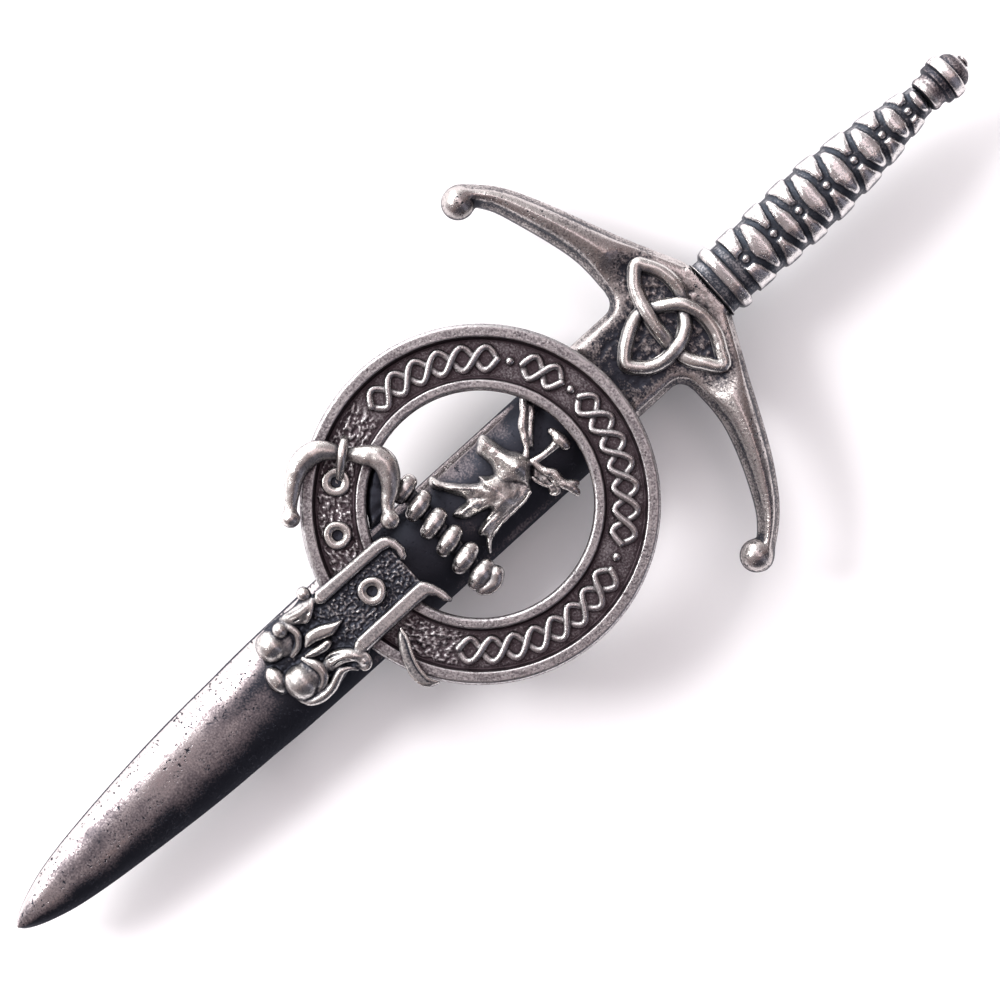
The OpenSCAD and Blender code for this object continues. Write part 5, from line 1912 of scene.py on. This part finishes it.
        form.keep(np.maximum(PLACE.seat_z - FOOT - z, y - high[1] - JOINT))
        metal = Metal(Finish.BRIGHT, wear=0.24, contrast=1.3, mottle=0.5, side=0.6, grain=0.3, pits=0.4)
        foundry.cast("tip_cast", form.net(), metal, ["strap_tip"], rounds=14, reach=0.09, soil=self.soil)

    def soil(self, x: np.ndarray, y: np.ndarray, z: np.ndarray) -> np.ndarray:
        """Patina left on the ground between the scrolls.

        Args:
            x, y, z: places on the piece.

        Returns:
            The patina.
        """
        ground = PLACE.seat_z + self.ground_h - self.ground_slope * np.clip(self.GROUND[0][1] - y, 0, FAR)
        return 0.6 * ramp(ground - z, -0.2, 0.15)


@dataclass(frozen=True)
class Keeper:
    """The fold of the strap beside the tail.

    Attributes:
        cell: grid of the casting.
    """

    cell: float = 0.06
    FOLD = (
        (2.6, -11.45), (3.3, -11.55), (4.1, -11.8), (5.0, -12.25), (6.0, -12.5), (7.0, -12.45),
        (7.65, -12.05), (7.6, -12.5), (7.3, -13.05), (6.8, -13.35), (6.0, -13.42), (5.0, -13.2),
        (4.2, -12.95), (3.6, -12.6), (2.9, -12.1))
    # x, y, height above the blade, radius of the bright upper rim and of the lower one
    RIMS = (
        ((2.75, -11.55, 2.3, 0.12), (3.7, -11.75, 2.4, 0.14), (4.8, -12.25, 2.45, 0.14),
         (5.9, -12.55, 2.4, 0.14), (6.9, -12.55, 2.35, 0.13), (7.45, -12.25, 2.25, 0.1)),
        ((4.6, -13.0, 2.2, 0.08), (5.8, -13.3, 2.25, 0.12), (6.8, -13.2, 2.25, 0.12),
         (7.35, -12.85, 2.2, 0.08)))

    def build(self, foundry: Foundry) -> None:
        """Casts the fold and its rims.

        Args:
            foundry: casts and dresses the pieces.
        """
        low, high = box_mm("strap_keeper")
        form = Casting(low - 0.3, high + 0.2, self.cell)
        form.cushion(BADGE.outline(self.FOLD), PLACE.rim_z + 0.4, PLACE.rim_z - 0.05, 0.35)
        for rows in self.RIMS:
            form.strand(BADGE.path(rows), 0.08)
        form.above(PLACE.rim_z - 0.1)
        metal = Metal(Finish.BRIGHT, wear=0.08, contrast=1.8, reach=0.7, mottle=0.5, grain=0.4, pits=0.4)
        foundry.cast("keeper_cast", form.net(), metal, ["strap_keeper"], rounds=10, reach=0.06)


@dataclass(frozen=True)
class Wreath:
    """The twisted wreath: six leaning rolls and a curled end.

    Attributes:
        cell: grid of the casting.
        lean: degrees by which a roll leans from the upright.
        core_r, core_up: radius of the core that joins the rolls, and height of its middle.
        slack: how much thinner a roll is at its ends, as a share, and how much lower.
        web_top, web_foot: heights of the web above the blade.
    """

    cell: float = 0.075
    lean: float = 15.0
    core_r: float = 0.62
    core_up: float = 0.5
    slack: tuple = (0.14, 0.16)
    web_top: float = 1.5
    web_foot: float = 1.0
    # x, y, half width, half length, top above the blade
    ROLLS = (
        (-4.75, -4.45, 0.68, 1.32, 1.8), (-3.1, -4.5, 0.7, 1.4, 1.88), (-1.4, -4.55, 0.71, 1.42, 1.92),
        (0.35, -4.55, 0.71, 1.42, 1.92), (2.1, -4.55, 0.72, 1.42, 1.92), (3.8, -4.5, 0.74, 1.4, 1.9))
    # x along the core
    CORE = (-4.7, -2.0, 1.5, 4.2)
    core_y: float = -4.5
    # x, y, height above the blade, radius
    CURL = (
        (4.5, -3.6, 1.05, 0.62), (4.8, -4.05, 1.0, 0.62), (4.85, -4.6, 0.95, 0.6),
        (4.65, -5.1, 0.85, 0.55))
    # outline of the web of metal between the ring, the buckle and the blade, in frame places
    WEB = (
        (-7.44, -4.26), (-6.94, -5.38), (-6.2, -6.4), (-5.32, -7.3), (-4.32, -7.96), (-3.8, -8.3),
        (-3.8, -6.2), (-4.6, -5.6), (-5.2, -4.7), (-6.0, -4.1), (-6.9, -3.9))

    def build(self, foundry: Foundry) -> None:
        """Casts the rolls, the core that joins them and the curl.

        Args:
            foundry: casts and dresses the pieces.
        """
        low, high = box_mm("wreath")
        web = np.array(self.WEB)
        form = Casting((*web.min(axis=0), low[2] - 0.3), high + 0.1, self.cell)
        seat = PLACE.seat_z
        core = [(*BADGE.at((px, self.core_y)), seat + self.core_up, self.core_r) for px in self.CORE]
        form.strand(smooth_path(core, 4))
        along = np.array([-math.sin(math.radians(self.lean)), math.cos(math.radians(self.lean))])
        for px, py, half_w, half_l, top in self.ROLLS:
            place = BADGE.at((px, py))
            thinner, lower = self.slack
            roll = [(*(place + along * (half_l - half_w) * t), seat + top - half_w - lower * t * t,
                     half_w * (1 - thinner * t * t)) for t in (-1, -0.5, 0, 0.5, 1)]
            form.strand(np.array(roll), 0.03)
        form.strand(BADGE.path(self.CURL), 0.05)
        form.cushion(web, seat + self.web_top, seat + self.web_foot, 0.5, 0.1)
        form.uneven(0.035, 0.5, 64)
        form.above(seat - FOOT)
        metal = Metal(Finish.BRIGHT, wear=0.34, contrast=1.3, mottle=0.5, grain=0.3, pits=0.5,
                      worn=(0.84, 0.8, 0.78, 1))
        foundry.cast("wreath_cast", form.net(), metal, ["wreath"], rounds=14, reach=0.1, soil=self.soil)

    def soil(self, x: np.ndarray, y: np.ndarray, z: np.ndarray) -> np.ndarray:
        """Patina left low between the rolls and on the web.

        Args:
            x, y, z: places on the piece.

        Returns:
            The patina.
        """
        web = ((x < -5.2) | (y < -5.8)) & (z < PLACE.seat_z + self.web_top + 0.1)
        return 0.6 * ramp(PLACE.seat_z - z, -0.9, 0.3) + 0.85 * web


@dataclass(frozen=True)
class StagHead:
    """The stag's head, torn off at the neck, with its antlers.

    Attributes:
        cell: grid of the casting.
    """

    cell: float = 0.061
    # corners of each part's outline, measured on the badge's plane
    HEAD = ((-3.85, 2.65), (-3.0, 2.93), (-2.0, 3.15), (-1.5, 3.4), (-0.95, 3.85), (-0.4, 4.07), (0.15, 4.05),
            (0.55, 3.6), (0.95, 3.15), (1.35, 2.55), (1.15, 2.3), (0.55, 1.9), (0.15, 1.35), (-0.3, 1.12),
            (-0.9, 1.08), (-1.5, 1.4), (-2.2, 1.45), (-3.1, 1.33), (-3.55, 1.7), (-3.92, 2.2))
    NECK = (
        (1.3, 2.75), (1.65, 2.45), (1.9, 1.8), (2.0, 0.8), (2.05, -0.4), (2.1, -1.3), (2.35, -2.1),
        (3.1, -2.85), (2.9, -2.98), (2.3, -2.65), (1.95, -2.4), (1.5, -2.65), (1.15, -2.35), (0.95, -1.6),
        (0.72, -0.75), (0.45, -1.2), (0.25, -1.9), (0.1, -2.4), (-0.3, -2.85), (-0.8, -3.15),
        (-1.02, -2.9), (-1.06, -2.2), (-1.05, -1.65), (-1.5, -1.75), (-2.1, -2.15), (-2.7, -2.45),
        (-3.2, -2.85), (-3.75, -2.9), (-4.15, -2.55), (-4.05, -2.25), (-3.3, -1.95), (-2.6, -1.35),
        (-2.0, -0.75), (-1.45, 0.0), (-1.78, 0.3), (-1.3, 0.9), (-1.0, 1.6), (-0.3, 1.95), (0.4, 2.4),
        (0.9, 2.95))
    EAR = ((0.3, 4.0), (1.5, 4.15), (3.0, 4.1), (3.1, 3.6), (2.8, 3.35), (2.2, 3.5), (1.7, 3.25), (1.1, 3.15),
           (0.7, 3.4))
    ANTLER = ((-0.7, 4.3), (-1.05, 4.2), (-1.6, 4.55), (-2.3, 5.0), (-2.6, 5.4), (-3.1, 5.9), (-3.6, 6.2),
              (-4.0, 6.6), (-3.4, 6.8), (-2.85, 6.9), (-2.45, 6.45), (-1.95, 5.95), (-1.6, 5.5), (-1.05, 5.1),
              (-0.7, 4.7))
    # x, y, half length, half width, turn, height of the swellings and hollows of each part
    HEAD_BUMPS = (
        (-0.25, 2.85, 1.15, 0.85, 14, 0.8), (-1.9, 2.5, 1.6, 0.62, 10, 0.42), (-3.3, 2.2, 0.5, 0.5, 0, 0.2),
        (-0.9, 2.1, 0.5, 0.08, -30, -0.05), (-1.3, 1.98, 0.1, 0.1, 0, -0.08), (-0.3, 1.6, 0.5, 0.3, -15, 0.2))
    NECK_BUMPS = (
        (-0.05, 0.5, 1.15, 0.95, 0, 0.65), (-1.9, -1.15, 1.5, 0.4, 42, 0.45),
        (-3.5, -2.45, 0.55, 0.3, 12, 0.2), (-0.5, -1.9, 0.34, 1.0, -8, 0.4),
        (1.12, -1.2, 0.1, 0.6, -4, -0.22), (1.68, 0.0, 0.08, 1.2, 0, -0.12),
        (1.35, -1.8, 0.28, 0.65, 0, 0.25), (-0.6, -0.9, 0.12, 0.4, -40, -0.12),
        (-0.9, 0.35, 0.55, 0.25, 20, 0.3), (1.0, 0.6, 0.5, 1.0, 0, 0.3))
    # x, y, height above the blade, radius
    STRANDS = (
        ((1.72, 2.35, 0.85, 0.1), (1.93, 1.6, 0.85, 0.1), (1.98, 0.5, 0.85, 0.1), (2.03, -0.8, 0.8, 0.1),
         (2.3, -2.05, 0.65, 0.1), (2.6, -2.5, 0.5, 0.1), (3.05, -2.88, 0.35, 0.09)),
        ((-0.5, 3.9, 1.0, 0.26), (-0.95, 4.4, 0.85, 0.24), (-1.6, 4.8, 0.8, 0.3), (-2.35, 5.3, 0.8, 0.35),
         (-3.0, 6.0, 0.78, 0.33), (-3.7, 6.6, 0.7, 0.3)),
        ((-0.9, 4.75, 0.65, 0.2), (-1.45, 5.2, 0.7, 0.25), (-1.95, 5.75, 0.68, 0.22), (-2.4, 6.2, 0.68, 0.25),
         (-2.9, 6.75, 0.6, 0.2)),
        ((0.15, 3.9, 0.95, 0.28), (0.3, 4.6, 0.88, 0.28), (0.36, 5.4, 0.85, 0.27), (0.36, 6.2, 0.88, 0.36)),
        ((-0.5, 6.6, 0.9, 0.32), (-0.2, 6.62, 0.94, 0.36), (0.2, 6.6, 0.98, 0.48), (0.6, 6.66, 1.0, 0.46),
         (0.9, 6.66, 0.96, 0.42)),
        ((0.25, 4.0, 1.0, 0.26), (1.0, 4.12, 1.0, 0.28), (1.5, 4.32, 1.0, 0.34), (1.9, 4.62, 0.98, 0.37),
         (2.5, 4.56, 0.95, 0.36), (3.0, 4.62, 0.93, 0.38), (3.5, 4.85, 0.9, 0.36), (4.0, 4.9, 0.82, 0.32),
         (4.22, 4.86, 0.7, 0.2)),
        ((3.1, 4.75, 0.92, 0.32), (3.42, 5.15, 0.87, 0.31), (3.58, 5.38, 0.8, 0.24)),
        ((0.3, 4.02, 0.9, 0.12), (1.5, 4.12, 0.85, 0.14), (2.5, 4.15, 0.8, 0.16), (3.05, 4.0, 0.75, 0.16),
         (3.1, 3.6, 0.6, 0.12), (2.8, 3.38, 0.5, 0.08)),
        ((1.05, 3.2, 0.8, 0.13), (1.7, 3.32, 0.8, 0.15), (2.2, 3.55, 0.75, 0.14), (2.5, 3.9, 0.7, 0.12)))

    def build(self, foundry: Foundry) -> None:
        """Casts head, neck, ear and antlers in one.

        Args:
            foundry: casts and dresses the pieces.
        """
        low, high = box_mm("stag_head")
        form = Casting(low - (0.4, 0.2, 0.3), high + (0.2, 0.4, 0.1), self.cell)
        seat = PLACE.seat_z
        for outline, bumps, top, foot, rim in (
                (self.NECK, self.NECK_BUMPS, 1.0, 0.2, 0.38), (self.HEAD, self.HEAD_BUMPS, 1.25, 0.25, 0.46),
                (self.EAR, (), 0.75, 0.2, 0.3), (self.ANTLER, (), 0.85, 0.2, 0.25)):
            form.cushion(BADGE.outline(outline), seat + top, seat + foot, rim, 0.05, BADGE.bumps(bumps))
        for rows in self.STRANDS:
            form.strand(BADGE.path(rows), 0.06)
        form.uneven(0.035, 0.4, 65)
        form.above(seat - FOOT)
        metal = Metal(Finish.BRIGHT, wear=0.42, contrast=1.2, reach=0.7, mottle=0.6, side=0.4, grain=0.8,
                      speckle=2.2, pits=0.8, worn=(0.88, 0.84, 0.81, 1))
        foundry.cast("stag_cast", form.net(), metal, ["stag_head"], rounds=16, reach=0.12)


@dataclass(frozen=True)
class BroochPin:
    """The brooch pin behind the sword: hinge block, stem and catch.

    Attributes:
        stem_r: radius of the stem.
        wall: thickness of the catch.
        hinge_l: length of the hinge block.
        lip_h: height of the catch's low side, over which the stem springs.
        foot: how far the underside stays clear of the floor.
        point_r, point_in: radius of the stem's point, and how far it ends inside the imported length.
        taper_l: length of the taper to the point.
        hinge_in: how far short of the hinge block's far side the stem ends.
        cell: grid of the casting.
    """

    stem_r: float = 0.45
    wall: float = 0.5
    hinge_l: float = 3.2
    lip_h: float = 1.4
    foot: float = 0.03
    point_r: float = 0.1
    point_in: float = 0.12
    taper_l: float = 2.7
    hinge_in: float = 1.5
    cell: float = 0.19
    # left and right side of the catch, and its start and end from the stem's point
    CATCH_X = (-1.8, 1.8)
    CATCH_ALONG = (5.4, 8.4)

    def build(self, foundry: Foundry) -> None:
        """Casts the three in one, with softly broken edges.

        Args:
            foundry: casts and dresses the pieces.
        """
        low, high = box_mm("brooch_pin")
        form = Casting(low, high, self.cell)
        left, right = self.CATCH_X
        start, end = (low[1] + along for along in self.CATCH_ALONG)
        self.slab(form, (low[0], high[1] - self.hinge_l, self.foot), high)
        self.slab(form, (left, start, self.foot), (right, end, self.wall + 0.05))
        self.slab(form, (left, start, self.foot), (left + self.wall, end, high[2]))
        self.slab(form, (left, start, high[2] - self.wall), (right, end, high[2]))
        self.slab(form, (right - self.wall, start, self.foot), (right, end, self.lip_h))
        stem_z = self.wall + self.stem_r
        stem = [(0, low[1] + self.point_in, stem_z, self.point_r),
                (0, low[1] + self.taper_l, stem_z, self.stem_r),
                (0, high[1] - self.hinge_in, stem_z, self.stem_r)]
        form.strand(np.array(stem), 0.05)
        metal = Metal(Finish.STEEL, wear=0.5, contrast=1.0, mottle=0.25, grain=0.2, pits=0.1, bump=0.02,
                      worn=(0.7, 0.7, 0.69, 1), middle=(0.4, 0.4, 0.4, 1))
        foundry.cast("brooch_cast", form.net(), metal, ["brooch_pin"], rounds=8, reach=0.06)

    @staticmethod
    def slab(form: Casting, low: Row, high: Row) -> None:
        """Adds a block with broken edges.

        Args:
            form: the casting.
            low, high: corners of the block.
        """
        distance = -FAR
        for axis, values in enumerate(form.everywhere()):
            middle, half = (low[axis] + high[axis]) / 2, (high[axis] - low[axis]) / 2
            distance = greater(distance, np.abs(values - middle) - half, 0.1)
        form.join(distance, 0.06)


@dataclass(frozen=True)
class Studio:
    """Floor, light and camera.

    Attributes:
        lean: angle of the sword above the picture's horizontal, in degrees.
        centre: frame place in the middle of the picture.
        distance: height of the camera above the badge.
        badge_z: height of the badge's front.
        lens: focal length.
        sensor: width of the sensor.
        key_azimuth, key_elevation: direction of the main light, in degrees from +X and from the floor.
        lamp_away, ceiling_away: distances of the lamps.
        lamp_power, ceiling_power: their power in watts.
        sky_strength, card_power: brightness of the surroundings, and of the card in them.
        floor_half: half width of the floor.
    """

    lean: float = 42.33
    centre: tuple = (0.94, 0.27)
    distance: float = 205.0
    badge_z: float = 7.0
    lens: float = 100.0
    sensor: float = 36.0
    key_azimuth: float = 212.0
    key_elevation: float = 42.0
    lamp_away: float = 420.0
    ceiling_away: float = 450.0
    lamp_power: float = 0.7
    ceiling_power: float = 2.6
    sky_strength: float = 1.5
    card_power: float = 3.0
    floor_half: float = 1500.0
    # share of the way to the sword's right, from -1 to 1, and the colour there
    SKY = (
        (-0.92, (1.0, 1.0, 1.0)), (-0.74, (0.88, 0.88, 0.88)), (-0.53, (0.42, 0.4, 0.41)),
        (-0.32, (0.25, 0.225, 0.235)), (-0.13, (0.24, 0.19, 0.197)), (0.03, (0.21, 0.2, 0.212)),
        (0.22, (0.2, 0.15, 0.142)), (0.42, (0.04, 0.038, 0.048)), (0.95, (0.045, 0.045, 0.055)))
    # shares of the way towards the hilt where a bright card begins, is full, still is full and ends
    CARD = (0.06, 0.18, 0.3, 0.5)

    def camera(self) -> None:
        """Looks straight down on the pin, turned so that the sword leans as in the picture."""
        data = bpy.data.cameras.new("camera")
        data.lens = self.lens
        data.sensor_width = self.sensor
        data.clip_start = 0.01
        data.clip_end = 10
        camera = bpy.data.objects.new("camera", data)
        bpy.context.scene.collection.objects.link(camera)
        camera.matrix_world = (
            Matrix.Translation(Vector((*self.centre, self.badge_z + self.distance)) * MM)
            @ Matrix.Rotation(math.radians(90 - self.lean), 4, "Z"))
        bpy.context.scene.camera = camera

    def floor(self) -> None:
        """A wide pale floor under the pin."""
        half = self.floor_half * MM
        mesh = bpy.data.meshes.new("floor")
        corners = [(-half, -half, 0), (half, -half, 0), (half, half, 0), (-half, half, 0)]
        mesh.from_pydata(corners, [], [(0, 1, 2, 3)])
        floor = bpy.data.objects.new("floor", mesh)
        bpy.context.scene.collection.objects.link(floor)
        material = bpy.data.materials.new("floor_card")
        material.use_nodes = True
        shader = material.node_tree.nodes["Principled BSDF"]
        shader.inputs["Base Color"].default_value = (0.9, 0.89, 0.9, 1)
        shader.inputs["Roughness"].default_value = 0.5
        shader.inputs["Specular IOR Level"].default_value = 0.3
        mesh.materials.append(material)
        floor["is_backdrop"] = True

    def lamp(self, name: str, azimuth: float, elevation: float, away: float, size: tuple, power: float,
             colour: tuple, mirrored: bool = True) -> None:
        """Adds a soft area light that faces the pin.

        Args:
            name: the light's name.
            azimuth, elevation: its direction, in degrees.
            away: its distance.
            size: its width and height.
            power: its power in watts.
            colour: its colour.
            mirrored: whether it shows in the metal.
        """
        data = bpy.data.lights.new(name, "AREA")
        data.shape = "RECTANGLE"
        data.size, data.size_y = size[0] * MM, size[1] * MM
        data.energy = power
        data.color = colour
        a, e = math.radians(azimuth), math.radians(elevation)
        toward = Vector((math.cos(a) * math.cos(e), math.sin(a) * math.cos(e), math.sin(e)))
        lamp = bpy.data.objects.new(name, data)
        bpy.context.scene.collection.objects.link(lamp)
        lamp.visible_glossy = mirrored
        lamp.location = Vector((*self.centre, 0)) * MM + toward * away * MM
        lamp.rotation_mode = "QUATERNION"
        lamp.rotation_quaternion = toward.to_track_quat("Z", "Y")

    def sky(self) -> None:
        """Soft surroundings: white at the sword's left, grey overhead and dark at its right."""
        world = bpy.data.worlds.new("studio")
        bpy.context.scene.world = world
        world.use_nodes = True
        graph = Graph(world.node_tree)
        background = world.node_tree.nodes["Background"]
        split = graph.add("ShaderNodeSeparateXYZ")
        graph.link(graph.add("ShaderNodeTexCoord").outputs["Generated"], split.inputs[0])
        ramp = graph.add("ShaderNodeValToRGB")
        share = graph.maths("MULTIPLY_ADD", split.outputs["X"], 0.5, 0.5)
        graph.link(share, ramp.inputs["Fac"])
        ramp.color_ramp.interpolation = "EASE"
        stops = ramp.color_ramp.elements
        while len(stops) > 1:
            stops.remove(stops[-1])
        for i, (x, colour) in enumerate(self.SKY):
            stop = stops[0] if i == 0 else stops.new(0.5 + 0.5 * x)
            stop.position = 0.5 + 0.5 * x
            stop.color = (*colour, 1)
        graph.link(ramp.outputs["Color"], background.inputs["Color"])
        start, full, still, end = self.CARD
        card = graph.maths("MULTIPLY", graph.ease(split.outputs["Y"], start, full),
                           graph.ease(split.outputs["Y"], end, still))
        more = graph.maths("MULTIPLY_ADD", card, self.card_power * self.sky_strength, self.sky_strength)
        graph.link(more, background.inputs["Strength"])

    def build(self) -> None:
        """Sets the stage."""
        self.floor()
        self.camera()
        self.sky()
        self.lamp("key", self.key_azimuth, self.key_elevation, self.lamp_away, (150, 150), self.lamp_power,
                  (1, 0.99, 0.98))
        self.lamp("sun", self.key_azimuth + 6, self.key_elevation + 2, self.lamp_away, (110, 110),
                  self.lamp_power, (1, 0.97, 0.99), mirrored=False)
        self.lamp("ceiling", 0, 90, self.ceiling_away, (1100, 1100), self.ceiling_power, (1, 0.98, 1),
                  mirrored=False)
        scene = bpy.context.scene
        scene.view_settings.view_transform = "Standard"
        scene.view_settings.look = "None"


def main() -> None:
    """Builds the pieces and the studio."""
    logging.basicConfig(level=logging.INFO, format="%(message)s")
    cad_box = [list(corner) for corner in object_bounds()]
    foundry = Foundry()
    parts = (Blade, Guard, Knot, Grip, Pommel, StrapRing, Plait, Buckle, Eyelets, Tail, Tip, Keeper, Wreath,
             StagHead, BroochPin)
    for part in parts:
        part().build(foundry)
    Studio().build()
    LOG.info("%d pieces", len(foundry.pieces))
    visual_box = [list(corner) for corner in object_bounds()]
    {"cad": cad_box, "visual": visual_box}


if __name__ == "__main__":
    main()
